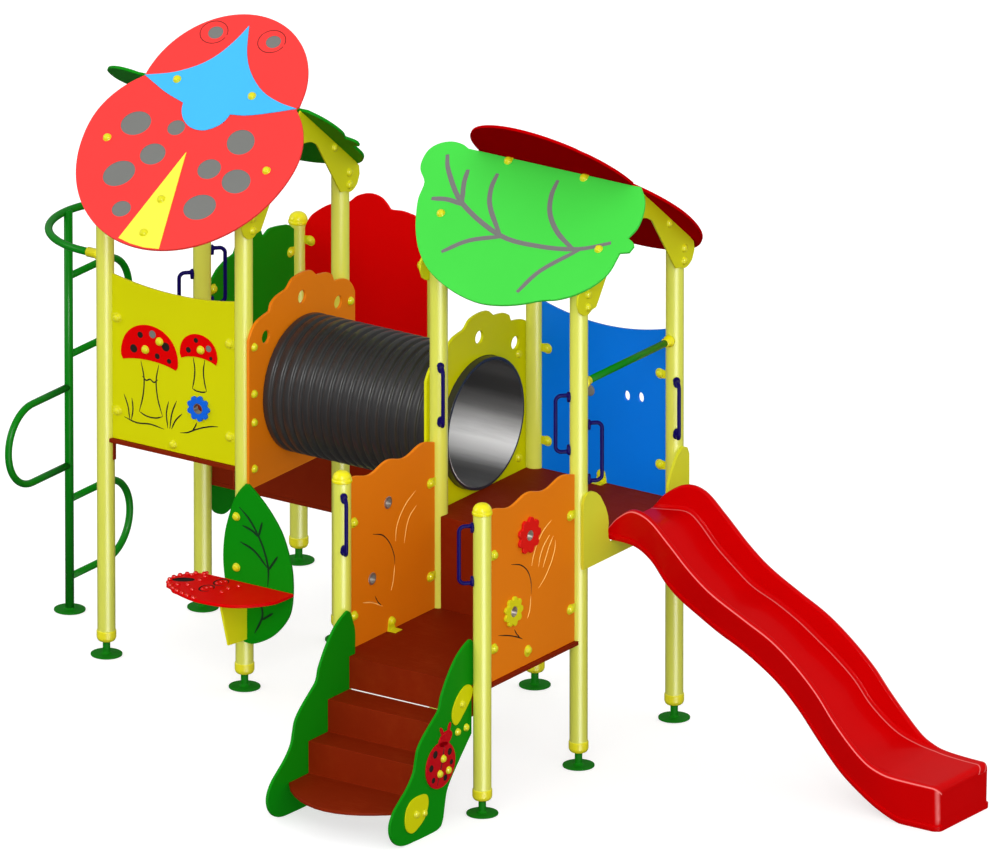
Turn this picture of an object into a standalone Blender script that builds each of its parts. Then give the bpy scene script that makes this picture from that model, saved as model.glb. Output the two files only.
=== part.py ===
"""Two-tower playground structure with tunnel, stair, slide and climber.

Metres, +Z up. X runs from the climber to the slide, Y from the stair to the back landing.
The origin is the centre of the ground disc under the left tower's front outer post.
"""
import math

import bmesh
import bpy
from mathutils import Vector

for old in list(bpy.data.objects):
    bpy.data.objects.remove(old)

# Fits between pieces
GAP = 0.0003
NOTCH = 0.0006

# Towers and posts
PITCH = 1.0
SPAN = 1.4
POST_R = 0.054
POST_SIDES = 12
POST_TOP = 3.0
FRONT_POST_TOP = 1.868
BACK_POST_TOP = 2.14
CAP_R = 0.0575
CAP_HEIGHT = 0.07
COLLAR_R = 0.059
ANCHOR_R = 0.095

# Floors and stair
DECK_TOP = 1.38
LANDING_TOP = 0.80
DECK_THICK = 0.025
DECK_EDGE = 0.03
BOARD = 0.018
STEP_RISE = 0.20
TREAD_BACK = 0.0333
TREAD_DEPTH = 0.20
FIRST_TREAD = 0.223
NOSE_REACH = 0.254

# Crawl tunnel
TUNNEL_Z = 1.79
TUNNEL_CUFF_R = 0.405
TUNNEL_RIB_RISE = 0.015
TUNNEL_WALL = 0.020
TUNNEL_RIBS = 16
TUNNEL_SIDES = 24
PANEL_FOOT = 1.266

# Roofs
ROOF_ANGLE = math.radians(40.0)
RIDGE_Z = 3.483
GABLE_THICK = 0.012

# Slide
SLIDE_WIDTH = 0.536
SLIDE_SHIFT = 0.018
SLIDE_WALL = 0.046
SLIDE_SKIN = 0.010
SLIDE_REACH = 2.395
ENTRY_FOOT = 1.255

# Climber and bars
CLIMBER_X = -0.627
CLIMBER_Y = 0.54
CLIMBER_POLE_R = 0.023
CLIMBER_LOOP_R = 0.018
CLIMBER_HOOP_R = 0.020
HOOP_Z = 2.506
SLEEVE_R = 0.025
SLEEVE_REACH = 0.125
GUARD_BAR_Z = 2.38
GUARD_BAR_R = 0.019
HANDLE_R = 0.012
HANDLE_REACH = 0.139

# Flowers
HUB_R = 0.0345
HUB_BORE_R = 0.0270
HUB_CLEARANCE = 0.0001
HUB_SIDES = 12
FLOWER_THICK = 0.018

# Post axes
LEFT_X = 0.0
LEFT_X_INNER = LEFT_X + PITCH
RIGHT_X_INNER = LEFT_X_INNER + SPAN
RIGHT_X = RIGHT_X_INNER + PITCH
FACE = POST_R + GAP
SLIDE_LEFT = PITCH / 2.0 + SLIDE_SHIFT - SLIDE_WIDTH / 2.0
SLIDE_RIGHT = SLIDE_LEFT + SLIDE_WIDTH


def linear(value):
    """Colour value from 0 to 255 as linear light."""
    share = value / 255.0
    if share <= 0.04045:
        return share / 12.92
    return ((share + 0.055) / 1.055) ** 2.4


def material(name, red, green, blue, roughness, metallic=0.0):
    mat = bpy.data.materials.new(name)
    mat.use_nodes = True
    shader = mat.node_tree.nodes["Principled BSDF"]
    shader.inputs["Base Color"].default_value = (linear(red), linear(green), linear(blue), 1.0)
    shader.inputs["Roughness"].default_value = roughness
    shader.inputs["Metallic"].default_value = metallic
    return mat


POST_PAINT = material("post_yellow", 226, 226, 110, 0.35)
GABLE_PAINT = material("gable_yellow", 225, 215, 60, 0.4)
BROWN = material("deck_brown", 119, 34, 4, 0.5)
GREEN_PIPE = material("pipe_green", 0, 120, 30, 0.35)
NAVY = material("handle_navy", 12, 14, 120, 0.4)
ORANGE = material("board_orange", 205, 112, 24, 0.45)
YELLOW = material("board_yellow", 205, 205, 12, 0.45)
GREEN = material("board_green", 18, 128, 22, 0.45)
BLUE = material("board_blue", 0, 100, 200, 0.45)
RED = material("board_red", 200, 8, 8, 0.45)
CORAL = material("board_coral", 255, 75, 72, 0.45)
LIGHT_GREEN = material("board_light_green", 74, 226, 74, 0.45)
BLACK = material("tunnel_black", 44, 44, 46, 0.5)
SLIDE_RED = material("slide_red", 205, 4, 8, 0.3)
FLOWER_RED = material("flower_red", 214, 24, 16, 0.4)
FLOWER_YELLOW = material("flower_yellow", 214, 206, 20, 0.4)
FLOWER_BLUE = material("flower_blue", 16, 96, 214, 0.4)
FLOWER_WHITE = material("flower_white", 232, 232, 228, 0.4)


def on_yz(a, b, c):
    return Vector((c, a, b))


def on_xz(a, b, c):
    return Vector((a, c, b))


def on_xy(a, b, c):
    return Vector((a, b, c))


def front_slope(post_x):
    """Roof plane that falls towards -Y: across, down the slope, out of the slope."""
    def at(across, down, out):
        y = PITCH / 2.0 - down * math.cos(ROOF_ANGLE) - out * math.sin(ROOF_ANGLE)
        z = RIDGE_Z - down * math.sin(ROOF_ANGLE) + out * math.cos(ROOF_ANGLE)
        return Vector((post_x + across, y, z))
    return at


def back_slope(post_x):
    """Roof plane that falls towards +Y."""
    front = front_slope(post_x)

    def at(across, down, out):
        point = front(across, down, out)
        return Vector((point.x, PITCH - point.y, point.z))
    return at


def finish(name, bm, mat):
    bmesh.ops.remove_doubles(bm, verts=bm.verts, dist=0.000001)
    bmesh.ops.recalc_face_normals(bm, faces=bm.faces)
    mesh = bpy.data.meshes.new(name)
    bm.to_mesh(mesh)
    bm.free()
    mesh.materials.append(mat)
    obj = bpy.data.objects.new(name, mesh)
    bpy.context.scene.collection.objects.link(obj)
    return obj


def combine(base, tools, operation):
    """Join or cut base with the tools, which are used up."""
    for tool in tools:
        step = base.modifiers.new("step", "BOOLEAN")
        step.operation = operation
        step.solver = "EXACT"
        step.object = tool
    bpy.context.view_layer.update()
    graph = bpy.context.evaluated_depsgraph_get()
    result = bpy.data.meshes.new_from_object(base.evaluated_get(graph))
    base.modifiers.clear()
    base.data = result
    for tool in tools:
        bpy.data.objects.remove(tool)
    return base


def plate(name, outline, low, high, at, mat, holes=()):
    """Flat board with its outline and holes in one plane, from low to high across it."""
    bm = bmesh.new()
    edges = []
    for loop in (outline, *holes):
        ring = [bm.verts.new(at(a, b, low)) for a, b in loop]
        for index, vert in enumerate(ring):
            edges.append(bm.edges.new((ring[index - 1], vert)))
    filled = bmesh.ops.triangle_fill(bm, use_beauty=True, use_dissolve=False, edges=edges)
    faces = [item for item in filled["geom"] if isinstance(item, bmesh.types.BMFace)]
    grown = bmesh.ops.extrude_face_region(bm, geom=faces)
    moved = [item for item in grown["geom"] if isinstance(item, bmesh.types.BMVert)]
    bmesh.ops.translate(bm, vec=at(0.0, 0.0, high) - at(0.0, 0.0, low), verts=moved)
    return finish(name, bm, mat)


def box(name, low, high, mat):
    corners = [(low[0], low[1]), (high[0], low[1]), (high[0], high[1]), (low[0], high[1])]
    return plate(name, corners, low[2], high[2], on_xy, mat)


def loft(name, rings, mat):
    """Closed body through rings of equal length, with a flat face at each end."""
    bm = bmesh.new()
    rows = [[bm.verts.new(point) for point in ring] for ring in rings]
    for row, after in zip(rows, rows[1:]):
        for index in range(len(row)):
            bm.faces.new((row[index - 1], row[index], after[index], after[index - 1]))
    bm.faces.new(rows[0])
    bm.faces.new(rows[-1])
    return finish(name, bm, mat)


def circle(radius, sides, centre=(0.0, 0.0), turn=0.0):
    points = []
    for index in range(sides):
        angle = 2.0 * math.pi * index / sides + turn
        points.append((centre[0] + radius * math.cos(angle), centre[1] + radius * math.sin(angle)))
    return points


def turned(name, profile, centre, at, sides, mat):
    """Round body: profile gives radius and height along the third direction of at."""
    rings = []
    for radius, height in profile:
        rings.append([at(a, b, height) for a, b in circle(radius, sides, centre)])
    return loft(name, rings, mat)


def rounded(corners, radius, steps):
    """Open path through corners, with an arc of the given radius at each inner corner."""
    path = [Vector(corners[0])]
    for before, corner, after in zip(corners, corners[1:], corners[2:]):
        corner = Vector(corner)
        back = (Vector(before) - corner).normalized()
        ahead = (Vector(after) - corner).normalized()
        half = back.angle(ahead) / 2.0
        centre = corner + (back + ahead).normalized() * (radius / math.sin(half))
        start = corner + back * (radius / math.tan(half)) - centre
        end = corner + ahead * (radius / math.tan(half)) - centre
        sweep = start.angle(end)
        for step in range(steps + 1):
            share = step / steps
            first = math.sin((1.0 - share) * sweep) / math.sin(sweep)
            second = math.sin(share * sweep) / math.sin(sweep)
            path.append(centre + start * first + end * second)
    path.append(Vector(corners[-1]))
    return path


def bar(name, path, radii, normal, sides, mat):
    """Round bar along a flat path. Radii is one value or one for each point."""
    path = [Vector(point) for point in path]
    if isinstance(radii, float):
        radii = [radii] * len(path)
    normal = Vector(normal)
    rings = []
    for index, point in enumerate(path):
        ahead = path[min(index + 1, len(path) - 1)] - path[max(index, 0)]
        behind = path[index] - path[max(index - 1, 0)]
        if index == 0:
            behind = ahead
        if index == len(path) - 1:
            ahead = behind
        ahead.normalize()
        behind.normalize()
        along = (ahead + behind).normalized()
        side = normal.cross(along).normalized()
        stretch = 1.0 / max(along.dot(ahead), 0.5)
        ring = []
        for a, b in circle(radii[index], sides, turn=math.pi / sides):
            ring.append(point + side * a * stretch + normal * b)
        rings.append(ring)
    return loft(name, rings, mat)


def flowing(points, steps, closed=False):
    """Smooth curve through the points."""
    count = len(points)
    curve = []
    last = count if closed else count - 1
    for index in range(last):
        if closed:
            four = [points[(index + shift) % count] for shift in (-1, 0, 1, 2)]
        else:
            four = [points[min(max(index + shift, 0), count - 1)] for shift in (-1, 0, 1, 2)]
        for step in range(steps):
            t = step / steps
            weights = (
                (-t + 2.0 * t * t - t ** 3) / 2.0,
                (2.0 - 5.0 * t * t + 3.0 * t ** 3) / 2.0,
                (t + 4.0 * t * t - 3.0 * t ** 3) / 2.0,
                (-t * t + t ** 3) / 2.0,
            )
            a = sum(weight * point[0] for weight, point in zip(weights, four))
            b = sum(weight * point[1] for weight, point in zip(weights, four))
            curve.append((a, b))
    if not closed:
        curve.append(points[-1])
    return curve


def between(table, place):
    """Value at a place in a table of rising places, joined by straight lines."""
    for (low, first), (high, second) in zip(table, table[1:]):
        if place <= high:
            share = max(0.0, (place - low) / (high - low))
            return first + (second - first) * share
    return table[-1][1]


# Posts

FOOT = [(ANCHOR_R, 0.0), (ANCHOR_R, 0.010), (0.0225, 0.012), (0.0225, 0.090)]
COLLAR = [(0.0505, 0.095), (COLLAR_R, 0.110), (COLLAR_R, 0.156), (POST_R, 0.157)]


def post(name, x, y, top, capped=False):
    profile = FOOT + COLLAR
    if capped:
        profile = profile + [
            (POST_R, top),
            (CAP_R, top + 0.0005),
            (CAP_R, top + 0.014),
            (CAP_R * 0.93, top + CAP_HEIGHT * 0.45),
            (CAP_R * 0.66, top + CAP_HEIGHT * 0.82),
            (CAP_R * 0.20, top + CAP_HEIGHT),
        ]
    else:
        profile = profile + [(POST_R, top - 0.004), (POST_R - 0.004, top)]
    return turned(name, profile, (x, y), on_xy, POST_SIDES, POST_PAINT)


def post_room(x, y, low, high):
    """Cutter that leaves room for a post."""
    return turned("room", [(POST_R + NOTCH, low), (POST_R + NOTCH, high)], (x, y), on_xy, POST_SIDES, BROWN)


def stub(start, end, radius, mat):
    """Short round bar that is joined to a post."""
    return bar("stub", [start, end], radius, (0.0, 0.0, 1.0), 10, mat)


left_front_outer = post("left_post_front_outer", LEFT_X, 0.0, POST_TOP)
post("left_post_front_inner", LEFT_X_INNER, 0.0, POST_TOP)
left_back_outer = post("left_post_back_outer", LEFT_X, PITCH, POST_TOP)
post("left_post_back_inner", LEFT_X_INNER, PITCH, POST_TOP)
post("right_post_front_inner", RIGHT_X_INNER, 0.0, POST_TOP)
right_front_outer = post("right_post_front_outer", RIGHT_X, 0.0, POST_TOP)
post("right_post_back_inner", RIGHT_X_INNER, PITCH, POST_TOP)
right_back_outer = post("right_post_back_outer", RIGHT_X, PITCH, POST_TOP)
post("front_landing_post_left", RIGHT_X_INNER, -PITCH, FRONT_POST_TOP, True)
post("front_landing_post_right", RIGHT_X, -PITCH, FRONT_POST_TOP, True)
post("back_landing_post_left", LEFT_X, 2.0 * PITCH, BACK_POST_TOP, True)
post("back_landing_post_right", LEFT_X_INNER, 2.0 * PITCH, BACK_POST_TOP, True)

for owner, y in ((left_front_outer, 0.0), (left_back_outer, PITCH)):
    sleeve = stub((LEFT_X - 0.03, y, HOOP_Z), (LEFT_X - SLEEVE_REACH, y, HOOP_Z), SLEEVE_R, POST_PAINT)
    combine(owner, [sleeve], "UNION")

BAR_START = POST_R + 0.05
for owner, y, way in ((right_front_outer, 0.0, 1.0), (right_back_outer, PITCH, -1.0)):
    socket = stub(
        (RIGHT_X, y + way * 0.03, GUARD_BAR_Z),
        (RIGHT_X, y + way * BAR_START, GUARD_BAR_Z),
        SLEEVE_R,
        POST_PAINT,
    )
    combine(owner, [socket], "UNION")


# Floors

def deck(name, x_low, x_high, y_low, y_high, top, extras=(), left_edge=None):
    """Floor between four post axes, notched round the posts."""
    edge = x_low - DECK_EDGE if left_edge is None else left_edge
    low = (edge, y_low - DECK_EDGE, top - DECK_THICK)
    high = (x_high + DECK_EDGE, y_high + DECK_EDGE, top)
    slab = box(name, low, high, BROWN)
    if extras:
        combine(slab, extras, "UNION")
    rooms = []
    for x in (x_low, x_high):
        for y in (y_low, y_high):
            rooms.append(post_room(x, y, top - 0.5, top + 0.5))
    return combine(slab, rooms, "DIFFERENCE")


deck("deck_left", LEFT_X, LEFT_X_INNER, 0.0, PITCH, DECK_TOP)
deck("deck_right", RIGHT_X_INNER, RIGHT_X, 0.0, PITCH, DECK_TOP)
skirt = box(
    "skirt",
    (RIGHT_X_INNER + FACE, -PITCH - DECK_EDGE, LANDING_TOP - STEP_RISE + 0.003),
    (RIGHT_X - FACE, -PITCH - DECK_EDGE + BOARD, LANDING_TOP - 0.005),
    BROWN,
)
deck("landing_front", RIGHT_X_INNER, RIGHT_X, -PITCH, 0.0, LANDING_TOP, [skirt])
deck(
    "landing_back",
    LEFT_X,
    LEFT_X_INNER,
    PITCH,
    2.0 * PITCH,
    LANDING_TOP,
    left_edge=LEFT_X + BOARD / 2.0 + GAP,
)

RISER_IN = DECK_EDGE + GAP
for name, x_low, face_y, way in (
    ("riser_front", RIGHT_X_INNER, -RISER_IN, -1.0),
    ("riser_back", LEFT_X, PITCH + RISER_IN, 1.0),
):
    clear = math.sqrt(POST_R ** 2 - RISER_IN ** 2) + NOTCH
    y_pair = sorted((face_y, face_y + way * BOARD))
    box(
        name,
        (x_low + clear, y_pair[0], LANDING_TOP + GAP),
        (x_low + PITCH - clear, y_pair[1], DECK_TOP),
        BROWN,
    )


# Stair

STRINGER_IN = FACE + BOARD
step_low = RIGHT_X_INNER + STRINGER_IN + GAP
step_high = RIGHT_X - STRINGER_IN - GAP
top_z = LANDING_TOP - STEP_RISE
first = -PITCH - TREAD_BACK
second = -PITCH - TREAD_BACK - FIRST_TREAD
third = second - TREAD_DEPTH
folded = [
    (first, top_z),
    (second, top_z),
    (second, top_z - STEP_RISE),
    (third, top_z - STEP_RISE),
    (third, top_z - 2.0 * STEP_RISE - BOARD / 2.0),
    (third + BOARD, top_z - 2.0 * STEP_RISE - BOARD / 2.0),
    (third + BOARD, top_z - STEP_RISE - BOARD),
    (second + BOARD, top_z - STEP_RISE - BOARD),
    (second + BOARD, top_z - BOARD),
    (first, top_z - BOARD),
]
stair = plate("stair_treads", folded, step_low, step_high, on_yz, BROWN)
nose_side = third - TREAD_DEPTH
arc = []
for index in range(13):
    share = index / 12.0
    x = step_low + (step_high - step_low) * share
    arc.append((x, nose_side - NOSE_REACH * math.sin(math.pi * share) ** 0.8))
lowest = [(step_high, third + BOARD), (step_low, third + BOARD)] + arc
nose = plate(
    "nose", lowest, top_z - 2.0 * STEP_RISE - BOARD, top_z - 2.0 * STEP_RISE, on_xy, BROWN
)
combine(stair, [nose], "UNION")

STRINGER_WAVE = flowing([
    (-0.03, 0.95), (0.02, 1.075), (0.07, 1.08), (0.177, 1.02), (0.27, 0.92), (0.34, 0.81),
    (0.366, 0.74), (0.486, 0.65), (0.58, 0.56), (0.62, 0.43), (0.70, 0.34), (0.82, 0.25),
    (0.87, 0.165), (0.85, 0.08), (0.77, 0.017), (0.63, 0.0), (0.39, 0.0), (0.325, 0.05),
    (0.284, 0.217), (0.177, 0.35), (DECK_EDGE + GAP, 0.5),
], 2)
STRINGER = STRINGER_WAVE + [
    (DECK_EDGE + GAP, LANDING_TOP + GAP),
    (-0.03, LANDING_TOP + GAP),
]
stringer_outline = [(-PITCH - reach, max(height, 0.001)) for reach, height in STRINGER]
plate(
    "stringer_left", stringer_outline, RIGHT_X_INNER + FACE, RIGHT_X_INNER + FACE + BOARD, on_yz, GREEN
)
plate("stringer_right", stringer_outline, RIGHT_X - FACE - BOARD, RIGHT_X - FACE, on_yz, GREEN)


# Boards beside the stair landing

FLOWER_UPPER = (-0.54, 1.605)
FLOWER_LOWER = (-0.705, 1.178)
HUB_ROOM = (HUB_R + HUB_CLEARANCE) / math.cos(math.pi / HUB_SIDES)

wave = []
for index in range(25):
    y = -FACE - (PITCH - 2.0 * FACE) * index / 24.0
    wave.append((y, FRONT_POST_TOP - 0.018 + 0.018 * math.cos(2.0 * math.pi * (y + 0.9) / 0.36)))
side_outline = [(-PITCH + FACE, LANDING_TOP + GAP), (-FACE, LANDING_TOP + GAP)] + wave
hub_holes = [circle(HUB_ROOM, HUB_SIDES, FLOWER_UPPER), circle(HUB_ROOM, HUB_SIDES, FLOWER_LOWER)]
for name, x in (("stair_panel_left", RIGHT_X_INNER), ("stair_panel_right", RIGHT_X)):
    plate(name, side_outline, x - BOARD / 2.0, x + BOARD / 2.0, on_yz, ORANGE, hub_holes)


# Boards on the tower sides

def dipped(x_low, corner_z, dip, foot_z, count):
    """Board outline between two posts with a top edge that sags between its corners."""
    start = x_low + FACE
    width = PITCH - 2.0 * FACE
    outline = [(start, foot_z), (start + width, foot_z)]
    for index in range(count + 1):
        share = 1.0 - index / count
        outline.append((start + width * share, corner_z - dip * 4.0 * share * (1.0 - share)))
    return outline


FRONT_FLOWER = (0.684, 1.692)
plate(
    "front_panel",
    dipped(LEFT_X, 2.41, 0.045, DECK_TOP + GAP, 10),
    -BOARD / 2.0,
    BOARD / 2.0,
    on_xz,
    YELLOW,
    [circle(HUB_ROOM, HUB_SIDES, FRONT_FLOWER)],
)


def oval(centre, half_width, half_height, sides):
    return [(centre[0] + half_width * a, centre[1] + half_height * b) for a, b in circle(1.0, sides)]


plate(
    "back_panel_right",
    dipped(RIGHT_X_INNER, 2.43, 0.065, DECK_TOP + GAP, 12),
    PITCH - BOARD / 2.0,
    PITCH + BOARD / 2.0,
    on_xz,
    BLUE,
    [
        oval((RIGHT_X_INNER + 0.664, 1.957), 0.020, 0.031, 12),
        oval((RIGHT_X_INNER + 0.764, 1.966), 0.020, 0.031, 12),
    ],
)

side_top = flowing([
    (PITCH + 0.095, 2.04), (PITCH + 0.153, 2.09), (PITCH + 0.26, 2.13), (PITCH + 0.328, 2.14),
    (PITCH + 0.37, 2.20), (PITCH + 0.50, 2.24), (PITCH + 0.60, 2.21), (PITCH + 0.626, 2.16),
    (PITCH + 0.69, 2.19), (PITCH + 0.80, 2.18), (PITCH + 0.89, 2.16),
], 2)
side_foot = flowing([
    (PITCH + 0.70, 0.66), (PITCH + 0.58, 0.60), (PITCH + 0.46, 0.61), (PITCH + 0.40, 0.66),
    (PITCH + 0.33, 0.57), (PITCH + 0.22, 0.53), (PITCH + 0.12, 0.57), (PITCH + FACE, 0.66),
], 2)
plate(
    "back_side_panel",
    [(PITCH + FACE, 1.98)] + side_top + [(2.0 * PITCH - FACE, 2.12), (2.0 * PITCH - FACE, 0.70)] + side_foot,
    LEFT_X - BOARD / 2.0,
    LEFT_X + BOARD / 2.0,
    on_yz,
    GREEN,
)

end_top = flowing([
    (FACE, 2.12), (0.066, 2.155), (0.10, 2.21), (0.174, 2.27), (0.247, 2.31), (0.36, 2.34), (0.425, 2.394),
    (0.498, 2.425), (0.561, 2.43), (0.614, 2.414), (0.656, 2.377), (0.676, 2.358), (0.75, 2.364),
    (0.813, 2.358), (0.87, 2.341), (0.92, 2.28), (0.934, 2.19), (PITCH - FACE, 2.12),
], 2)
plate(
    "back_end_panel",
    [(FACE, LANDING_TOP + GAP)] + end_top + [(PITCH - FACE, LANDING_TOP + GAP)],
    2.0 * PITCH - BOARD / 2.0,
    2.0 * PITCH + BOARD / 2.0,
    on_xz,
    RED,
)


# Tunnel and the boards that hold it

CROWN = [
    (-0.05, 2.20), (-0.02, 2.25), (0.03, 2.295), (0.099, 2.315), (0.166, 2.325),
    (0.185, 2.370), (0.232, 2.395), (0.300, 2.408), (0.345, 2.415), (0.398, 2.456), (0.450, 2.468),
]
crown = CROWN + [(0.5, 2.471)] + [(1.0 - y, z) for y, z in reversed(CROWN)]
crown = [(y * PITCH, z) for y, z in crown]
crown_outline = [(1.05 * PITCH, PANEL_FOOT), (-0.05 * PITCH, PANEL_FOOT)] + crown
tunnel_holes = [
    circle(TUNNEL_CUFF_R + NOTCH, TUNNEL_SIDES, (PITCH / 2.0, TUNNEL_Z)),
    circle(0.04, 12, (0.125 * PITCH, 2.178)),
    circle(0.04, 12, (0.5 * PITCH, 2.321)),
    circle(0.04, 12, (0.875 * PITCH, 2.178)),
]
tube_low = LEFT_X_INNER + FACE
tube_high = RIGHT_X_INNER - FACE
plate("tunnel_panel_left", crown_outline, tube_low, tube_low + BOARD, on_yz, ORANGE, tunnel_holes)
plate("tunnel_panel_right", crown_outline, tube_high - BOARD, tube_high, on_yz, YELLOW, tunnel_holes)

rib_start = tube_low + BOARD + GAP
rib_pitch = (tube_high - BOARD - GAP - rib_start) / TUNNEL_RIBS
profile = [(TUNNEL_CUFF_R, tube_low), (TUNNEL_CUFF_R, rib_start)]
for index in range(TUNNEL_RIBS):
    start = rib_start + index * rib_pitch
    profile.append((TUNNEL_CUFF_R + TUNNEL_RIB_RISE, start + rib_pitch * 0.5))
    if index < TUNNEL_RIBS - 1:
        profile.append((TUNNEL_CUFF_R, start + rib_pitch))
profile += [(TUNNEL_CUFF_R, tube_high - BOARD - GAP), (TUNNEL_CUFF_R, tube_high)]
profile += [(TUNNEL_CUFF_R - TUNNEL_WALL, tube_high), (TUNNEL_CUFF_R - TUNNEL_WALL, tube_low)]
bm = bmesh.new()
rows = []
for radius, along in profile:
    ring = circle(radius, TUNNEL_SIDES, (PITCH / 2.0, TUNNEL_Z))
    rows.append([bm.verts.new(on_yz(a, b, along)) for a, b in ring])
for index, row in enumerate(rows):
    before = rows[index - 1]
    for place in range(TUNNEL_SIDES):
        bm.faces.new((before[place - 1], before[place], row[place], row[place - 1]))
finish("tunnel_tube", bm, BLACK)


# Gables

def gable(name, low, high):
    """Arched plate that joins two posts of a tower and carries the roof boards."""
    slope = math.tan(ROOF_ANGLE)
    half = PITCH / 2.0
    edge_drop = (GAP + 0.0002) / math.cos(ROOF_ANGLE)
    right = [
        (half + 0.068, RIDGE_Z - edge_drop - slope * (half + 0.068)),
        (half + 0.103, 2.970), (half + 0.109, 2.915), (half + 0.085, 2.862), (half + 0.045, 2.836),
        (half - 0.005, 2.832), (half - 0.040, 2.848), (half - 0.085, 2.854), (half - 0.107, 2.885),
        (0.167, 3.223), (0.121, 3.252), (0.065, 3.267),
    ]
    left = [(-s, z) for s, z in reversed(right)]
    ring = [(0.0, RIDGE_Z - edge_drop)] + right + [(0.0, 3.270)] + left
    plate(name, [(half + s, z) for s, z in ring], low, high, on_yz, GABLE_PAINT)


gable("gable_left_outer", LEFT_X - FACE - GABLE_THICK, LEFT_X - FACE)
gable("gable_left_inner", LEFT_X_INNER + FACE, LEFT_X_INNER + FACE + GABLE_THICK)
gable("gable_right_inner", RIGHT_X_INNER - FACE - GABLE_THICK, RIGHT_X_INNER - FACE)
gable("gable_right_outer", RIGHT_X + FACE, RIGHT_X + FACE + GABLE_THICK)


# Roof boards

def beetle_outline():
    """Round head above the ridge and a rounder body below it."""
    points = []
    head = 0.55
    neck = math.asin(0.02 / head)
    for index in range(15):
        angle = math.pi + neck + (math.pi - 2.0 * neck) * index / 14.0
        points.append((0.5 + head * math.cos(angle), head * math.sin(angle)))
    body = (0.495, 0.39)
    start = math.radians(-43.0)
    for index in range(27):
        angle = start + (math.pi - 2.0 * start) * index / 26.0
        height = 0.572 if math.sin(angle) < 0.0 else 0.74
        points.append((body[0] + 0.74 * math.cos(angle), body[1] + height * math.sin(angle)))
    return points


RIDGE_SET = 0.006
LEAF_ROOF = [(-0.12, RIDGE_SET), (1.04, RIDGE_SET)] + flowing([
    (1.108, 0.003), (1.172, 0.076), (1.21, 0.17), (1.219, 0.271), (1.195, 0.35), (1.241, 0.369),
    (1.261, 0.393), (1.25, 0.44), (1.193, 0.458), (1.193, 0.497), (1.188, 0.60), (1.139, 0.70),
    (1.053, 0.787), (0.953, 0.847), (0.853, 0.878), (0.734, 0.931), (0.608, 0.968), (0.47, 0.983),
    (0.313, 0.96), (0.17, 0.913), (0.032, 0.843), (-0.088, 0.739), (-0.171, 0.626),
    (-0.226, 0.521), (-0.273, 0.40), (-0.289, 0.287), (-0.356, 0.214), (-0.377, 0.16),
    (-0.372, 0.072), (-0.328, 0.017), (-0.25, -0.016), (-0.169, -0.013),
], 1)
BEETLE_ROOF = beetle_outline()

for name, outline, at, mat in (
    ("roof_left_front", BEETLE_ROOF, front_slope(LEFT_X), CORAL),
    ("roof_left_back", LEAF_ROOF, back_slope(LEFT_X), GREEN),
    ("roof_right_front", LEAF_ROOF, front_slope(RIGHT_X_INNER), LIGHT_GREEN),
    ("roof_right_back", BEETLE_ROOF, back_slope(RIGHT_X_INNER), RED),
):
    plate(name, outline, 0.0, BOARD, at, mat)


# Slide and its entry board

SLIDE_START = DECK_EDGE + GAP
DRAWN_REACH = 2.395
CREST = [
    (0.03, 1.42), (0.1, 1.50), (0.22, 1.575), (0.35, 1.56), (0.49, 1.45), (0.65, 1.305), (0.8, 1.195),
    (1.03, 1.075), (1.22, 0.975), (1.39, 0.845), (1.55, 0.695), (1.66, 0.565), (1.79, 0.435), (1.9, 0.345),
    (2.0, 0.305), (2.2, 0.288), (2.4, 0.283),
]
CHUTE = [
    (0.03, 1.41), (0.17, 1.425), (0.25, 1.425), (0.3, 1.405), (0.36, 1.35), (0.46, 1.245),
    (0.59, 1.14), (0.72, 1.05), (0.9, 0.98), (1.06, 0.90), (1.2, 0.81), (1.33, 0.72), (1.46, 0.61),
    (1.56, 0.49), (1.68, 0.39), (1.78, 0.335), (1.9, 0.305), (2.0, 0.293), (2.2, 0.283), (2.4, 0.279),
]
BELLY = [
    (0.03, 1.357), (0.23, 1.347), (0.35, 1.287), (0.55, 1.073), (0.81, 0.924), (1.15, 0.80),
    (1.26, 0.69), (1.39, 0.586), (1.5, 0.457), (1.6, 0.32), (1.74, 0.20), (1.9, 0.10),
    (2.12, 0.001), (2.4, 0.001),
]
stretch = SLIDE_REACH / DRAWN_REACH
stations = [
    SLIDE_START / stretch, 0.1, 0.17, 0.24, 0.3, 0.36, 0.46, 0.57, 0.7, 0.85, 1.03, 1.2, 1.35, 1.48, 1.6,
    1.7, 1.8, 1.92, 2.05, 2.22, 2.365, DRAWN_REACH,
]
outer = []
for x in stations:
    crest = between(CREST, x)
    chute = between(CHUTE, x)
    foot = between(BELLY, x)
    crest = max(crest, chute + 0.003)
    if x == DRAWN_REACH:
        crest -= 0.020
        chute -= 0.020
    depth = min(1.0, (crest - chute) / 0.06)
    half = [
        (-0.008, foot), (-0.008, foot + 0.024), (0.0, foot + 0.030), (0.0, crest - 0.022),
        (0.009, crest - 0.006), (0.024, crest), (0.038, crest - 0.006 * depth),
        (SLIDE_WALL, crest - 0.022 * depth), (SLIDE_WALL + 0.012, chute + 0.020 * depth),
        (SLIDE_WALL + 0.030, chute),
    ]
    ring = [Vector((RIGHT_X + x * stretch, SLIDE_LEFT + inset, z)) for inset, z in half]
    ring += [Vector((RIGHT_X + x * stretch, SLIDE_RIGHT - inset, z)) for inset, z in reversed(half)]
    outer.append(ring)
slide = loft("slide", outer, SLIDE_RED)
hollow = []
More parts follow.
